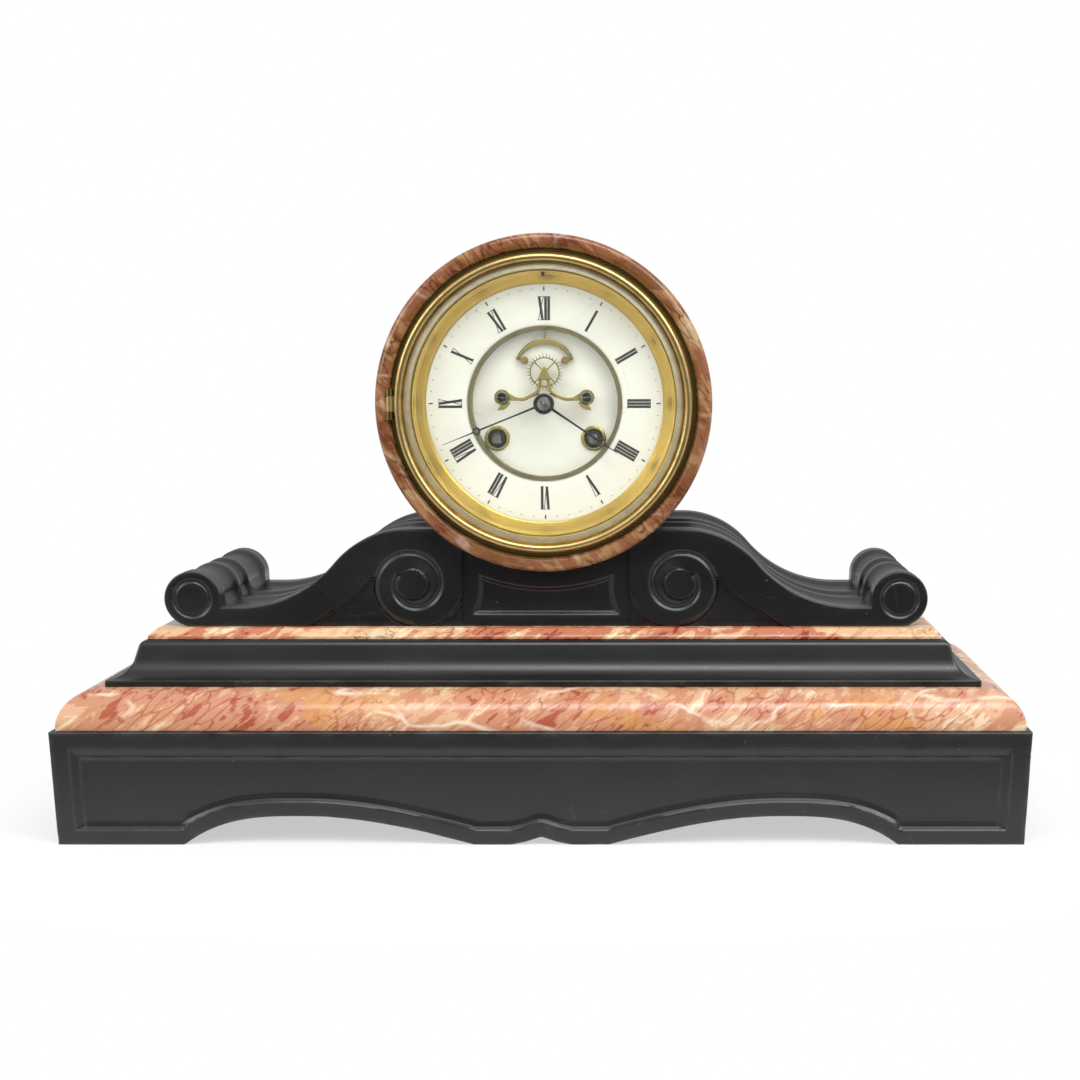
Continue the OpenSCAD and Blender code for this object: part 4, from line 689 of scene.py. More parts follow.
def scroll_top_line():
    """The scroll's upper outline from the far left of the small volute to the joint with the
    middle block: a circle, a hollow arc, a round arc, a flat and the drum's circle, as points and
    their outward normals."""
    turn = 2 * np.arctan((SCROLL_TOP - BLOCK_Z - LOW_H) / (LOW_X - HIGH_X))
    round_r = (LOW_X - HIGH_X) / np.sin(turn) - HOLLOW_R
    a = np.radians(np.linspace(180, -3, 64))
    b, c = np.linspace(0, turn, 44), np.linspace(turn, 0, 110)[1:]
    flat, level = np.linspace(-169.4, -LOW_X, 14)[:-1], np.linspace(-HIGH_X, -58, 24)[1:]
    rest = np.linspace(-57.4, -JOINT_X, 32)
    x = [-VOLUTE_X + VOLUTE_R * np.cos(a), flat, -LOW_X + HOLLOW_R * np.sin(b),
         -HIGH_X - round_r * np.sin(c), level, rest]
    z = [VOLUTE_Z + VOLUTE_R * np.sin(a), 0 * flat + BLOCK_Z + LOW_H,
         BLOCK_Z + LOW_H + HOLLOW_R * (1 - np.cos(b)), SCROLL_TOP - round_r * (1 - np.cos(c)),
         0 * level + SCROLL_TOP, under_drum(rest)]
    out_x = [np.cos(a), 0 * flat, -np.sin(b), -np.sin(c), 0 * level, 0 * rest]
    out_z = [np.sin(a), 0 * flat + 1, np.cos(b), np.cos(c), 0 * level + 1, 0 * rest + 1]
    x, z, out_x, out_z = (np.concatenate(v) for v in (x, z, out_x, out_z))
    return np.stack([x, z], -1), np.stack([out_x, out_z], -1)


def flutes(v):
    """Depth of the hollows across the scroll at share v of its depth: flat band, wide hollow, thin
    bead, narrow hollow, thin bead, wide hollow, flat band."""
    def hollow(k, deep):
        """A hollow between borders k and k + 1, round in section and deepest in its middle."""
        low, high = FLUTES[k:k + 2]
        t = np.clip((v - low) / (high - low) * 2 - 1, -1, 1)
        return deep * (1 - t * t) ** 0.55
    bead = 0.5 * (smooth((v - 0.36) / 0.02) - smooth((v - 0.62) / 0.02))
    return np.max([hollow(1, 3.2), hollow(3, 2.9), hollow(5, 3.2), bead], 0)


def clockwise(dx, dz):
    """The share of a full turn from the left, clockwise, at dx, dz from a centre."""
    return ((np.pi - np.arctan2(dz, dx)) / (2 * np.pi)) % 1.0


def spiral_groove(dx, dz, knots, width, depth):
    """Depth of a groove along a spiral: its radius at each angle, clockwise from the left, goes
    through the knots, given as turns and radii."""
    turns, radii = np.array(knots).T
    r, share = np.hypot(dx, dz), clockwise(dx, dz)
    best = np.full(r.shape, 9.0)
    for k in range(4):
        t = share + k
        inside = (t >= turns[0]) & (t <= turns[-1])
        best = np.where(inside, np.minimum(best, np.abs(r - np.interp(t, turns, radii))), best)
    return depth * np.exp(-(best / width) ** 2)


def scroll_relief(x, z):
    """How deep the left scroll's face is cut at x, z."""
    vx, vz = x + VOLUTE_X, z - VOLUTE_Z
    deep = spiral_groove(vx, vz, [(0, 9.2), (1, 9.2)], 0.9, 0.9)
    deep = deep + 0.25 * smooth((8.2 - np.hypot(vx, vz)) / 1.2)
    bx, bz = x + BIG_X, z - BLOCK_Z - BIG_R
    r, share = np.hypot(bx, bz), clockwise(bx, bz)
    deep = deep + spiral_groove(bx, bz, SPIRAL, 1.1, 1.1)
    # Round the eye a hollow rises outwards to the last turn of the groove
    last_turn = np.interp(np.where(share < 0.1, share + 2, share + 1), *np.array(SPIRAL).T)
    wide = last_turn - EYE_R
    hollow = np.clip(1 - (r - EYE_R) / wide, 0, 1) * np.clip(wide / 4, 0.25, 1)
    hollow = hollow * smooth((share - 0.1) % 1.0 / 0.3)
    deep = deep + 1.5 * hollow * smooth((r - EYE_R + 0.7) / 0.7)
    # Fields beside the volute: below the sweeping band on its left, level with the block on its right
    rim = np.interp(share, [0, .05, .5, .75, 1], [19.0, 19.0, SPIRAL_START, *np.array(SPIRAL)[:2, 1]])
    beyond = smooth((r - rim) / 0.9)
    band_edge = np.interp(x, [-134, -126, -113, -103.8, -96, -90.5, -60],
                          [96, 102, 110.5, 116.5, 123, 129, 129])
    left_field = smooth((band_edge - z) * 0.8 / 0.9) * beyond * (x < -BIG_X)
    right_field = beyond * (x >= -BIG_X) * (share > 0.5)
    return deep + 2.0 * left_field + BLOCK_SET_BACK * right_field


def scroll_grids():
    """Front and back faces with the same columns, from the lower to the upper outline, and the
    walls between them, which fall back along their normals by the depth of the flutes."""
    top, normal = scroll_top_line()
    # A column may not stand left of the one before it
    x = np.maximum.accumulate(top[:, 0] + np.arange(len(top)) * 1e-4)
    dx = np.clip(x + VOLUTE_X, -VOLUTE_R, 0)
    on_volute = x < -VOLUTE_X
    bottom = np.where(on_volute, VOLUTE_Z - np.sqrt(VOLUTE_R ** 2 - dx ** 2), BLOCK_Z)
    n_bottom = np.stack([dx, bottom - VOLUTE_Z], -1) / VOLUTE_R * on_volute[:, None]
    height = np.maximum(top[:, 1] - bottom, 0)[:, None]
    near = np.minimum(np.array([0, .25, .6, 1.0]), height * 0.02 * np.arange(4))
    far = height - near[:, ::-1]
    between = near[:, 3:] + (far[:, :1] - near[:, 3:]) * np.linspace(0, 1, 92)[1:-1]
    z = bottom[:, None] + np.concatenate([near, between, far], 1)
    xx = x[:, None] + 0 * z
    up = top[:, 1:] - z
    edge = np.minimum(up, z - bottom[:, None] + 0.4)
    from_volute = VOLUTE_R - np.hypot(xx + VOLUTE_X, z - VOLUTE_Z) + 1000 * (xx > -VOLUTE_X)
    near_rim = np.minimum(edge, from_volute)
    deep = scroll_relief(xx, z) + rounded_edge(np.clip(near_rim, 0, 9), 0.8)
    front = np.stack([xx, SCROLL_FRONT + deep, z], -1)
    back = np.stack([xx, 0 * z + BACK, z], -1)
    v = np.concatenate([[0, .004, .012, .03, .06, .09], np.linspace(.10, .38, 15),
                        [.385, .395, .405, .415], np.linspace(.42, .58, 11),
                        [.585, .595, .605, .615], np.linspace(.62, .90, 15), [.92, .95, .98, 1.0]])
    fade = np.clip((top[:, :1] + JOINT_X - 3) / -14, 0, 1)

    def wall(height_line, nrm, front_y):
        """A wall from the front face to the back, along a line of heights, with its flutes."""
        y = SCROLL_FRONT + SCROLL_D * v[None] + 0 * xx[:, :1]
        y[:, 0] = front_y
        y[:, 1] = np.maximum(y[:, 1], front_y)
        d = flutes(v) * fade * (np.hypot(nrm[:, 0], nrm[:, 1]) > 0.5)[:, None]
        return np.stack([xx[:, :1] - nrm[:, :1] * d, y, height_line[:, None] - nrm[:, 1:] * d], -1)
    upper = wall(top[:, 1], normal, front[:, -1, 1])
    lower = wall(bottom, n_bottom, front[:, 0, 1])
    joint = np.stack(np.broadcast_arrays(x[-1], SCROLL_FRONT + SCROLL_D * v, z[-1][:, None]), -1)
    joint[:, 0, 1] = front[-1, :, 1]
    joint[:, 1, 1] = np.maximum(joint[:, 1, 1], joint[:, 0, 1])
    joint[0], joint[-1] = lower[-1], upper[-1]
    back[:, 0], back[:, -1] = lower[:, -1], upper[:, -1]
    back[-1] = joint[:, -1]
    ridge = 0.25 * np.exp(-np.min(np.abs(v[:, None] - np.array(FLUTES)), 1) / 0.006)
    worn = [np.clip(np.exp(-np.clip(near_rim, 0, 99) / EDGE_FADE), 0, 1), 0 * z,
            ridge + 0 * upper[..., 0], ridge + 0 * lower[..., 0], 0 * joint[..., 0]]
    return [(grid, False, False) for grid in (front, back, upper, lower, joint)], worn


grids, worn = scroll_grids()
for side, word in ((1, "left"), (-1, "right")):
    mirrored = [(pts * [side, 1, 1], wrap_u, wrap_v) for pts, wrap_u, wrap_v in grids]
    stone(f"{word}_scroll_carved", (mirrored, worn), f"{word}_scroll", sharp=38)

BLOCK_FOOT, BLOCK_TOP, BLOCK_SIDE, BLOCK_SINK, BLOCK_ROUND = 5.6, 9.0, 12.4, 2.0, 2.4


def block_face(x0, x1, step):
    """A wall of the block from x0 to x1: its top follows the drum. Gives x, z, how deep the
    front panel is sunk there, bounded by a level line, the drum's circle and the big volutes, and a
    painted highlight along the panel's moulding, carried as wear."""
    x = near_ends(x0, x1, step)
    z = BLOCK_Z + (under_drum(x) - BLOCK_Z)[:, None] * np.linspace(0, 1, 66)[None]
    xx = x[:, None] + 0 * z
    d = np.minimum(z - BLOCK_Z - BLOCK_FOOT, np.hypot(xx, z - DRUM_Z) - DRUM_R - BLOCK_TOP)
    from_volute = np.hypot(np.abs(xx) - BIG_X, z - BLOCK_Z - BIG_R) - BIG_R - BLOCK_SIDE
    d = np.minimum(d, from_volute)
    # The last value is a painted highlight along the panel's moulding, for the worn attribute
    return xx, z, BLOCK_SINK * smooth(d / BLOCK_ROUND), np.exp(-np.abs(d - BLOCK_ROUND / 2) / 0.9) * 0.4


def middle_block():
    """The block between the scrolls: a front with a sunk moulded panel, a plain back, and two
    cheeks beside the chamber that the pendulum hangs in."""
    # worn here holds only the painted highlight along the panel's moulding
    x, z, sink, worn = block_face(-JOINT_X, JOINT_X, 0.6)
    front = np.stack([x, SCROLL_FRONT + BLOCK_SET_BACK + sink, z], -1)
    walls = [slab(front, 1, CHAMBER_FRONT, worn, rim_wear=0),
             slab(np.stack([x, CHAMBER_BACK + 0 * x, z], -1), 1, BACK, 0 * x)]
    for side in (-1, 1):
        x, z, _, _ = block_face(*sorted((side * CHAMBER_X, side * JOINT_X)), 1.0)
        walls.append(slab(np.stack([x, CHAMBER_FRONT + 0 * x, z], -1), 1, CHAMBER_BACK, 0 * x))
    return sum((grids for grids, _ in walls), []), sum((wear for _, wear in walls), [])


stone("middle_block_carved", middle_block(), "scroll_block", sharp=40)

# Drum: the marble ring at its front
RING_BACK, RING_EDGE, RECESS_EDGE, SEAT_Z = FACE_Z - 14, 3.2, 3.0, FACE_Z - 4.6
RING = refined(eased(outline(
    (BORE_R, RING_BACK), (DRUM_R, RING_BACK),
    arc(DRUM_R - RING_EDGE, FACE_Z - RING_EDGE, RING_EDGE, 0, 90, 9),
    arc(RECESS_R + RECESS_EDGE, FACE_Z - RECESS_EDGE, RECESS_EDGE, 90, 180, 9),
    (RECESS_R, SEAT_Z), (BORE_R, SEAT_Z)), 0.4), 1.5)
ring = lathe(RING, 300)
worn = wear_rows(RING, (DRUM_R, RING_BACK), 1.2)[:, None] + 0 * ring[0][..., 0]
stone("drum_marble_ring", ([ring], [worn]), "drum_front_ring", DRUM_MARBLE)

# Bezel, glass and dial
BEZEL = refined(outline(
    (67.9, 41.3), (76.3, 41.3), (76.5, 41.5), (76.5, 42.2), (76.1, 43.0), (75.6, 43.9),
    arc(73.8, 45.1, 1.9, -20, 195, 20), (71.6, 44.2), (71.35, 44.75), (71.05, 44.85),
    (71.02, 42.9), (67.9, 42.85), (67.8, 42.2)), 0.9)
piece("bezel_turned", [lathe(BEZEL)], "glazed_bezel", BEZEL_BRASS, ["bezel"], sharp=40)

# The hinge's knuckle and leaf
HINGE_X, HINGE_Z, LEAF_X, LEAF_Z = -78.1, 44.4, (-77.8, -75.2), (43.2, 44.8)


def upright_round(profile, x, z):
    """A short profile turned round an upright line at x and z of the dial."""
    a = np.linspace(0, 2 * np.pi, 32, endpoint=False)[None]
    r, y = profile[:, :1], profile[:, 1:]
    return on_dial(x + r * np.cos(a), y + 0 * a, z + r * np.sin(a)), False, True


def hinge_leaf():
    """A flat leaf as a loop of four points carried upwards, closed at both ends."""
    (x0, x1), (z0, z1) = LEAF_X, LEAF_Z
    leaf = np.array([(x0, z0), (x1, z0), (x1, z1), (x0, z1)])
    squeeze = np.array([0.0, 1, 1, 0])[:, None, None]
    loops = leaf.mean(0) + (leaf - leaf.mean(0))[None] * squeeze
    y = np.array([-4, -3.99, 3.99, 4])[:, None]
    return on_dial(loops[..., 0], y, loops[..., 1]), False, True


KNUCKLE = outline((0, -4), (1.3, -4), (1.6, -3.7), (1.6, 3.7), (1.3, 4), (0, 4))
piece("bezel_hinge_leaf", [upright_round(KNUCKLE, HINGE_X, HINGE_Z), hinge_leaf()], "glazed_bezel",
      BEZEL_BRASS)

GLASS_R, BEVEL_IN, BEVEL_LOW = 70.95, 68.2, 43.5
PANE = outline((0, 42.95), (GLASS_R - .3, 42.95), (GLASS_R, 43.2), (GLASS_R, 43.8),
               (BEVEL_IN, 45.0), (0, 45.1))
pane = piece("bezel_glass_pane", [lathe(PANE, closed=False)], "glazed_bezel", GLASS,
             ["bezel_glass"], sharp=8)
pane.data.materials.append(BEVEL)
middles = np.empty(len(pane.data.polygons) * 3)
pane.data.polygons.foreach_get("center", middles)
middles = middles.reshape(-1, 3) * 1000
from_middle = np.hypot(middles[:, 0], middles[:, 2] - DRUM_Z)
on_bevel = (from_middle > BEVEL_IN) & (-middles[:, 1] > BEVEL_LOW)
pane.data.polygons.foreach_set("material_index", on_bevel.astype(np.int32))

SLIP = refined(outline(
    (61.15, 31.2), (67.4, 31.2), (67.4, 40.2), (67.1, 40.4), (66.7, 40.3), (65.9, 38.9),
    (65.5, 38.8), (62.3, 34.4), (62.0, 34.4), (61.8, 34.0), (61.15, 33.5)), 0.8)
piece("gilt_slip_turned", [lathe(SLIP)], "root", GILT, ["gilt_slip"], sharp=28)

CHAPTER = refined(outline(
    (39.7, 31.0), (61.0, 31.0), (61.0, 32.6), (59.8, 32.85), (57.0, 33.0), (43.6, 33.0),
    (40.4, 32.8), (39.7, 32.4)), 1.0)
piece("chapter_ring_enamel", [lathe(CHAPTER)], "root", WHITE, ["chapter_ring"], sharp=40)

# How far the ink reaches into the enamel
INK_BELOW = 0.02


def stroke(points, z, t):
    """A flat four-cornered stroke of ink, t thick, in the dial's axes."""
    p = np.array(points, float)
    loops = np.stack([p.mean(0) + 0 * p, p, p, p.mean(0) + 0 * p])
    heights = np.array([z - INK_BELOW, z - INK_BELOW, z + t, z + t])[:, None]
    return on_dial(loops[..., 0], loops[..., 1], heights), False, True


def turned(p, degrees):
    """Points p turned clockwise about the dial's middle."""
    x, y, c, s = p[..., 0], p[..., 1], np.cos(radians(degrees)), np.sin(radians(degrees))
    return np.stack([x * c + y * s, y * c - x * s], -1)


NUMERALS = ["XII", "I", "II", "III", "IIII", "V", "VI", "VII", "VIII", "IX", "X", "XI"]
# Radii of the numerals' ends, widths of their strokes, and half a serif's height and its reach
FOOT_R, HEAD_R = 42.6, 54.4
THICK, THIN, GAP, SERIF, SERIF_OUT = 1.34, 0.38, 0.26, 0.14, 0.2
WIDTHS = {"I": THICK + GAP, "V": 3.0 + GAP, "X": 3.0 + GAP}


def numeral(text, hour):
    """The strokes of one numeral, feet to the middle: I is one thick stroke, V and X are a thick
    and a thin slanting stroke, and fine serifs close the ends."""
    left = -sum(WIDTHS[c] for c in text) / 2
    strokes = []
    for c in text:
        w = WIDTHS[c]
        x0, x1 = left + GAP / 2, left + w - GAP / 2
        centre = (x0 + x1) / 2
        # Each bar: its left side at the foot and at the head, and its width
        bars = {"I": [(x0, x0, THICK)],
                "V": [(centre - THICK / 2, x0, THICK), (centre, x1 - THIN, THIN)],
                "X": [(x1 - THICK, x0, THICK), (x0, x1 - THIN, THIN)]}[c]
        for foot, head, wide in bars:
            strokes.append([(foot, FOOT_R), (foot + wide, FOOT_R), (head + wide, HEAD_R),
                            (head, HEAD_R)])
        s0, s1 = x0 - SERIF_OUT, x1 + SERIF_OUT
        for r in (HEAD_R,) if c == "V" else (FOOT_R, HEAD_R):
            low, high = r - SERIF, r + SERIF
            strokes.append([(s0, low), (s1, low), (s1, high), (s0, high)])
        left += w
    return turned(np.array(strokes), 30 * hour)


def minute_mark(minute):
    """A dash at each fifth minute, a fine dot at the others."""
    w, r0, r1 = (0.34, 57.4, 59.5) if minute % 5 == 0 else (0.26, 58.25, 58.75)
    return turned(np.array([(-w, r0), (w, r0), (w, r1), (-w, r1)]), 6 * minute)


# Strokes that cross differ a little in height, so that no two faces lie in one plane
print_grids = [stroke(s, CHAPTER_Z, 0.03 + 0.006 * (k % 6))
               for hour, text in enumerate(NUMERALS) for k, s in enumerate(numeral(text, hour))]
print_grids += [stroke(minute_mark(minute), CHAPTER_Z - 0.12, 0.14) for minute in range(60)]
piece("dial_numerals", print_grids, "root", INK, sharp=20)

# Bars and rods of hands and escapement. A bar's section: half widths, shares of its thickness
SECTION = np.array([(-1, 0.15), (-0.85, 0), (0.85, 0), (1, 0.15), (1, 0.8), (0.7, 1), (-0.7, 1),
                    (-1, 0.8)])


def curve(points, n):
    """A smooth curve of n points: cubic pieces whose slopes follow the neighbouring points."""
    p = np.array(points, float)
    t = np.linspace(0, len(p) - 1, n)
    i = np.minimum(t.astype(int), len(p) - 2)
    f = (t - i)[:, None]
    slope = np.gradient(p, axis=0)
    return (p[i] * (1 + 2 * f) * (1 - f) ** 2 + slope[i] * f * (1 - f) ** 2 +
            p[i + 1] * f * f * (3 - 2 * f) + slope[i + 1] * f * f * (f - 1))


def strip(points, halves, z, t, n=30):
    """A flat bar of thickness t on z along a smooth curve, with its half width at each point, eased
    edges and closed ends."""
    line, half = curve(points, n), curve(np.array(halves, float)[:, None], n)
    ahead = np.gradient(line, axis=0)
    ahead = ahead / np.linalg.norm(ahead, axis=1)[:, None]
    wide = np.maximum(half, 0.02) * SECTION[None, :, 0]
    x, y = line[:, :1] - ahead[:, 1:] * wide, line[:, 1:] + ahead[:, :1] * wide
    rows = np.stack([x, y, z + t * SECTION[None, :, 1] + 0 * x], -1)
    ends = [np.tile(np.append(line[k], z + t / 2), (len(SECTION), 1))[None] for k in (0, -1)]
    rows = np.concatenate([ends[0], rows, ends[1]])
    return on_dial(rows[..., 0], rows[..., 1], rows[..., 2]), False, True


def pair(points, halves, z, t, n=30):
    """Two strips, one the mirror image of the other about the dial's upright line."""
    return [strip([(side * x, y) for x, y in points], halves, z, t, n) for side in (-1, 1)]


def rod(x, y, r, z0, z1, n=32):
    """A round bar along the dial's axis with eased ends."""
    e = min(0.15, r / 4)
    profile = outline((0, z0), (r - e, z0), (r, z0 + e), (r, z1 - e), (r - e, z1), (0, z1))
    return lathe(profile, n, (x, y), closed=False)


def leaves(x, y, r, depth, count, z0, z1):
    """A pinion: a rod whose radius swells and shrinks once for each leaf."""
    a = np.linspace(0, 2 * np.pi, 12 * count, endpoint=False)[None]
    radius = r - depth / 2 + depth / 2 * np.cos(count * a)
    share = np.array([0.0, 1, 1, 0])[:, None]
    return on_dial(x + radius * share * np.cos(a), y + radius * share * np.sin(a),
                   np.array([z0, z0, z1, z1])[:, None] + 0 * a), False, True


def inside(node):
    """A node's lowest and highest places along the dial's axis, in millimetres."""
    low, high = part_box(node)
    return -high[1] * 1000, -low[1] * 1000


# Hands: their thickness and the radius of their eye
HAND_T, HAND_EYE = 0.6, 4.6


def hand(name, node, body, length, width, moon_r, moon_y, z, angle):
    """A moon hand: a blade that narrows to the moon, a ring whose wall is thicker on the inner
    side, and a tapering tip."""
    t, eye = HAND_T, HAND_EYE

    def bar(ys, halves):
        """A strip along the hand through the given distances from the middle."""
        return strip(turned(np.array([(0, y) for y in ys]), angle), halves, z, t)
    low, high = moon_y - moon_r, moon_y + moon_r
    blade = bar([eye - 0.6, (eye + moon_y) / 2, low + 0.5], [width * .5, width * .33, width * .4])
    tip = bar([high - 0.6, high + 1, length], [width * .5, width * .3, 0.1])
    a = np.linspace(0, 2 * np.pi, 64, endpoint=False)[:, None]
    b = np.linspace(0, 2 * np.pi, 10, endpoint=False)[None]
    half = 0.45 - 0.17 * np.sin(a)
    r = moon_r - half + half * np.cos(b)
    flat = turned(np.stack([r * np.cos(a), moon_y + r * np.sin(a)], -1), angle)
    ring = on_dial(flat[..., 0], flat[..., 1], z + t / 2 * (1 + np.sin(b)) + 0 * a), True, True
    section = outline((eye - 1.2, z), (eye + 0.3, z), (eye + 0.3, z + t * 0.8), (eye - 1.2, z + t))
    collar = lathe(eased(section, 0.1), 64)
    piece(name, [blade, tip, ring, collar], body, BLUED, [node], sharp=30)


hand("hour_hand_moon", "hour_hand", "hour_pipe", 45.2, 1.5, 2.4, 35.2, HOUR_HAND_Z, 124)
hand("minute_hand_moon", "minute_hand", "centre_arbor", 56.2, 1.2, 2.1, 37.2, MINUTE_HAND_Z, 248)
WASHER = outline((0, 39.65), (4.8, 39.65), (5.3, 39.95), (5.3, 40.5), (4.9, 40.9), (4.4, 40.95),
                 (3.9, 40.5), (0, 40.5))
NUT = outline((0, 40.4), (3.3, 40.4), (3.45, 40.7), (3.45, 41.2), (3.1, 41.5), (1.5, 41.8),
              (1.3, 41.4), (0.95, 41.4), (0.9, 42.1), (0.6, 42.3), (0, 42.3))
for name, profile, finish, slot in (("minute_hand_washer", WASHER, BLUED, "blued_steel"),
                                    ("minute_hand_nut", NUT, STEEL, "steel")):
    piece(name, [lathe(refined(profile, 0.5, closed=False), 64, closed=False)], "centre_arbor",
          finish, sharp=30)

# Winding collets
WINDING_X, WINDING_Y = 24.9, -18.0
COLLET = refined(eased(outline(
    (3.9, 26.05), (4.9, 26.05), (4.9, 28.0), (6.5, 28.0), (6.4, 28.7), (5.8, 29.1), (5.0, 29.1),
    (4.4, 28.5), (3.9, 27.6)), 0.12), 0.5)
piece("winding_collets_turned", [lathe(COLLET, 64, (side * WINDING_X, WINDING_Y))
                                 for side in (-1, 1)],
      "root", BRASS, ["winding_collets"], sharp=35)

# Escapement
ESCAPE_Y, ESCAPE_R, TEETH, WHEEL_Z, WHEEL_T = 16.0, 9.8, 30, 31.4, 0.7
ANCHOR_Y, ANCHOR_Z, ANCHOR_T = 41.0, 28.9, 1.4
# The crescent's middle line, and the circle that both pallets stand on, 120 degrees apart
CRESCENT_R, PALLET_R = 15.4, 12.09
# The crutch: its gap behind the back plate and its thickness
CRUTCH_GAP, CRUTCH_T = 1.9, 1.0
BRIDGE_Z, BRIDGE_T, BRIDGE_X, BRIDGE_Y = 34.5, 1.0, 21.7, 3.2
BRIDGE_TOP = BRIDGE_Z + BRIDGE_T


def tooth(k):
    """A fine slanting tooth on the rim."""
    def at(share, radius):
        """The point at a share of a tooth's pitch and a radius."""
        a = np.pi / 2 + 2 * np.pi * (k + 0.5 + share) / TEETH
        return radius * np.cos(a), ESCAPE_Y + radius * np.sin(a)
    line = [at(-0.14, 7.4), at(-0.06, 8.6), at(0, ESCAPE_R)]
    return strip(line, [0.34, 0.15, 0.05], WHEEL_Z, WHEEL_T, n=4)


def spoke(degrees):
    """A thin bar from the hub to the rim."""
    a = radians(degrees)
    ends = [(r * np.cos(a), ESCAPE_Y + r * np.sin(a)) for r in (0.9, 4, 7.3)]
    return strip(ends, [0.42, 0.3, 0.38], WHEEL_Z, WHEEL_T, n=6)


back, front = inside("escape_wheel")
RIM = outline((7.05, WHEEL_Z), (7.75, WHEEL_Z), (7.75, WHEEL_Z + WHEEL_T), (7.05, WHEEL_Z + WHEEL_T))
escape_grids = [lathe(refined(eased(RIM, 0.1), 0.8), 90, (0, ESCAPE_Y)),
                rod(0, ESCAPE_Y, 1.5, WHEEL_Z - 0.3, WHEEL_Z + 1.0),
                rod(0, ESCAPE_Y, 0.45, back, front),
                leaves(0, ESCAPE_Y, 1.15, 0.5, 6, back + 2.8, back + 5.6)]
escape_grids += [tooth(k) for k in range(TEETH)] + [spoke(45 + 90 * k) for k in range(4)]
piece("escape_wheel_crossed", escape_grids, "escape", BRASS, ["escape_wheel"], sharp=35)


def anchor_grids():
    """A crescent whose middle is thicker than its ends, a round boss for each pallet, the neck up
    to its arbor, and the crutch with its fork behind the movement."""
    a = np.radians(np.linspace(-66, 66, 9))
    middle = CRESCENT_R + 0.35 * np.cos(a)
    arc_points = np.stack([middle * np.sin(a), ESCAPE_Y + middle * np.cos(a)], -1)
    swell = 0.75 + 0.8 * np.cos(a * 1.25) ** 2
    grids = [strip(arc_points, swell, ANCHOR_Z, ANCHOR_T, n=60)]
    boss, end = (np.array([r * np.sin(radians(turn)), ESCAPE_Y + r * np.cos(radians(turn))])
                 for r, turn in ((PALLET_R, 60), (CRESCENT_R, 63)))
    grids += [rod(x, boss[1], 2.0, ANCHOR_Z, ANCHOR_Z + ANCHOR_T + 0.2) for x in (-boss[0], boss[0])]
    grids += pair([end, (end + boss) / 2 - [0, 0.2], boss], [0.7, 0.8, 0.9], ANCHOR_Z, ANCHOR_T, 8)
    neck = [(0, 32), (0, 36), (0, ANCHOR_Y)]
    grids += [strip(neck, [0.55, 0.5, 1.2], ANCHOR_Z, 0.5, n=6),
              rod(0, ANCHOR_Y, 2.4, ANCHOR_Z, ANCHOR_Z + ANCHOR_T)]
    rear = inside("anchor")[0]
    crutch = inside("back_plate")[0] - CRUTCH_GAP - CRUTCH_T
    hanging = [(0, 18), (0, 30), (0, ANCHOR_Y)]
    grids += [rod(0, ANCHOR_Y, 0.75, crutch - 0.1, ANCHOR_Z + 0.2),
              strip(hanging, [1.2, 1.2, 1.6], crutch, CRUTCH_T, n=8)]
    prong = [(1.75, 17), (1.75, 18.2), (1.75, 19.4)]
    return grids + pair(prong, [0.43] * 3, rear, crutch + CRUTCH_T - rear, 4)


piece("anchor_crescent", anchor_grids(), "anchor", BRASS, ["anchor"], sharp=35)


def bridge_grids():
    """Two thin arms that curve like an S from the middle to a round foot with a leaf's tip, risers
    to a small block that carries the wheel's pivot, and a stem under each foot."""
    flat = BRIDGE_Z, BRIDGE_T
    arm = (3.2, 6.0), (6.2, 4.2), (10.5, 2.3), (14.5, 2.4), (18.2, 3.2)
    grids = pair(arm, [1.2, 0.95, 0.8, 0.9, 1.9], *flat)
    grids += pair(((20.0, 1.6), (21.2, -1.2), (24.0, -3.4)), [2.9, 2.0, 0.1], *flat, 12)
    grids += pair(((3.2, 6.0), (2.5, 9.0), (1.9, 12.5)), [0.9, 0.8, 0.9], *flat, 10)
    for x in (-BRIDGE_X, BRIDGE_X):
        grids += [rod(x, BRIDGE_Y, 4.0, BRIDGE_Z, BRIDGE_TOP),
                  rod(x, BRIDGE_Y, 1.8, inside("front_plate")[1], BRIDGE_Z + 0.2)]
    grids.append(strip([(0, 12.0), (0, 14.5), (0, 18.6)], [3.4, 2.6, 0.8], *flat, n=10))
    grids.append(rod(0, ESCAPE_Y, 1.2, BRIDGE_Z, BRIDGE_TOP + 0.5))
    return grids


piece("escape_bridge_shaped", bridge_grids(), "root", BRASS, ["escape_bridge"], sharp=35)


def slotted_head(x, y, r, z0, z1, slot):
    """A low screw head whose top is domed and cut by a slot: height falls near one line."""
    a = np.linspace(0, 2 * np.pi, 48, endpoint=False)[None]
    share = np.array([0, 1, 1, 0.93, 0.8, 0.6, 0.45, 0.3, 0.2, 0.12, 0.06, 0])[:, None]
    top = np.array([z0, z0, z1 - 0.4, z1 - 0.1] + [z1] * 8)[:, None]
    px, py = r * share * np.cos(a), r * share * np.sin(a)
    across = np.abs(px * np.sin(slot) - py * np.cos(slot))
    cut = (top > z0) * 0.5 * smooth((0.5 - across) / 0.16)
    return on_dial(x + px, y + py, np.maximum(top - cut, z0)), False, True


SCREW_R, HEAD_H = 3.3, 1.5
piece("bridge_screw_heads", [slotted_head(x, BRIDGE_Y, SCREW_R, BRIDGE_TOP, BRIDGE_TOP + HEAD_H, slot)
                             for x, slot in ((-BRIDGE_X, 0.4), (BRIDGE_X, 1.1))],
      "root", GREY_SCREW, sharp=35)

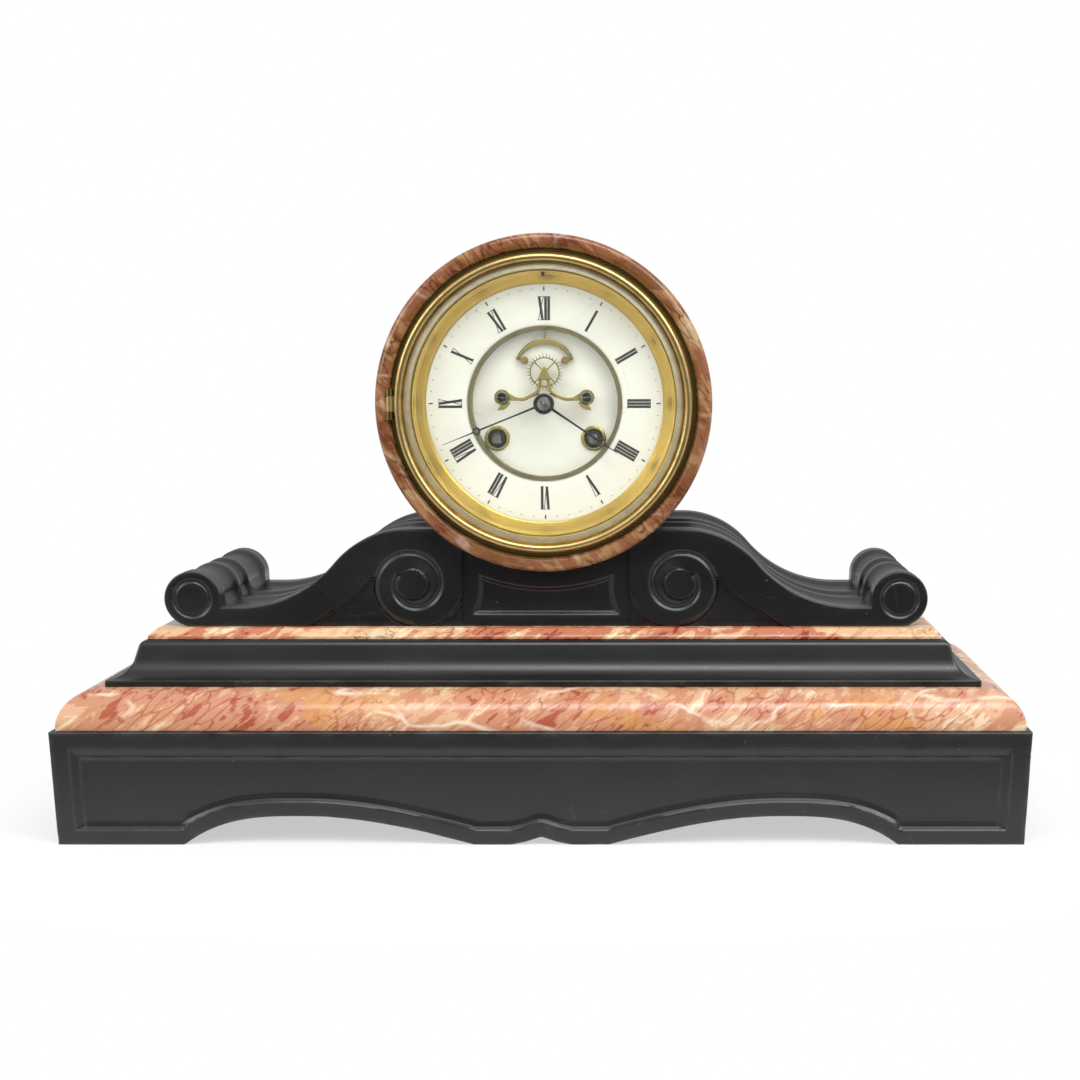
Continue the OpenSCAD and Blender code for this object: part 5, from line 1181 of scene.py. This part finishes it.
# Stage: floor, light and camera. The floor ends a little way in front of the plinth, so that only
# the foot of its face reflects the floor, and the rest the dark where the camera stands
FLOOR_X, FLOOR_FRONT, FLOOR_BACK = 3.0, -0.28, 3.0
floor_mesh = bpy.data.meshes.new("floor")
floor_mesh.from_pydata([(-FLOOR_X, FLOOR_FRONT, 0), (FLOOR_X, FLOOR_FRONT, 0),
                        (FLOOR_X, FLOOR_BACK, 0), (-FLOOR_X, FLOOR_BACK, 0)], [], [(0, 1, 2, 3)])
floor = bpy.data.objects.new("floor", floor_mesh)
bpy.context.scene.collection.objects.link(floor)


def rays(t, *kinds):
    """1 for rays of the given kinds and 0 for all others."""
    share = 0.0
    for kind in kinds:
        other = add(t, "LightPath", out=f"Is {kind} Ray")
        share = add(t, "Math", [share, other], operation="MAXIMUM")
    return share


def paper(t):
    """Matt white paper."""
    return {"Roughness": 0.9, "Base Color": "#f6f6f6"}


def paper_floor():
    """Near the object the paper shows the shadow, and further off it melts into the white
    background: the share of plain white grows with the distance, on Object coordinates."""
    m = finished("matt_white_paper", paper)
    t = m.node_tree
    spot = add(t, "VectorMath", [add(t, "TexCoord", out="Object"), (1.0, 1.7, 1.0)],
               operation="MULTIPLY")
    far = add(t, "VectorMath", [spot], out="Value", operation="LENGTH")
    plain = weighed(t, 0.55, (rise(t, far, 0.22, 0.42), 0.45))
    share = product(t, plain, rays(t, "Camera", "Glossy", "Transmission"))
    return partly(m, share, add(t, "Emission", {"Strength": 1.0}))


floor_mesh.materials.append(paper_floor())


def studio():
    """A white tent: bright above, behind and beside the object and dim in front of it, where the
    camera stands. The camera itself sees plain white."""
    world = bpy.data.worlds.new("studio")
    world.use_nodes = True
    t = world.node_tree
    way = add(t, "TexCoord", out="Generated")
    y, z = (add(t, "SeparateXYZ", [way], out=axis) for axis in "YZ")
    ahead = weighed(t, product(t, y, -1), (z, -0.9))
    level = weighed(t, 0.58, (rise(t, ahead, 0.4, 0.75), -0.5))
    light = add(t, "Background", [(1, 1, 1, 1), level])
    white = add(t, "Background", [(1, 1, 1, 1), 1.0])
    mix = add(t, "MixShader", [rays(t, "Camera", "Transmission"), light, white])
    feed(t, t.nodes["World Output"].inputs["Surface"], mix)
    return world


bpy.context.scene.world = studio()


def lamp(name, at, aim, width, height, watts):
    """A soft rectangular lamp at a place, turned to what it lights."""
    data = bpy.data.lights.new(name, "AREA")
    data.shape, data.size, data.size_y, data.energy = "RECTANGLE", width, height, watts
    o = bpy.data.objects.new(name, data)
    o.location = at
    o.rotation_euler = (Vector(aim) - Vector(at)).to_track_quat("-Z", "Y").to_euler()
    bpy.context.scene.collection.objects.link(o)


lamp("right_softbox", (1.2, -1.1, 1.3), (0, 0, 0.14), 0.7, 0.9, 16)
lamp("left_softbox", (-1.5, -1.0, 0.9), (0, 0, 0.15), 0.6, 0.9, 11)
lamp("top_softbox", (0.15, -0.75, 1.5), (0, -0.05, 0.2), 1.2, 0.5, 13)

# The camera stands and looks as in the photograph
camera = bpy.data.objects.new("camera", bpy.data.cameras.new("camera"))
camera.data.lens, camera.data.sensor_width = 60, 36
camera.data.shift_x, camera.data.shift_y = -0.1148, 0.0238
camera.location = (0.0613, -0.9617, 0.2414)
camera.rotation_euler = (radians(83.44), 0, 0)
bpy.context.scene.collection.objects.link(camera)
bpy.context.scene.camera = camera
bpy.context.scene.view_settings.view_transform = "Standard"
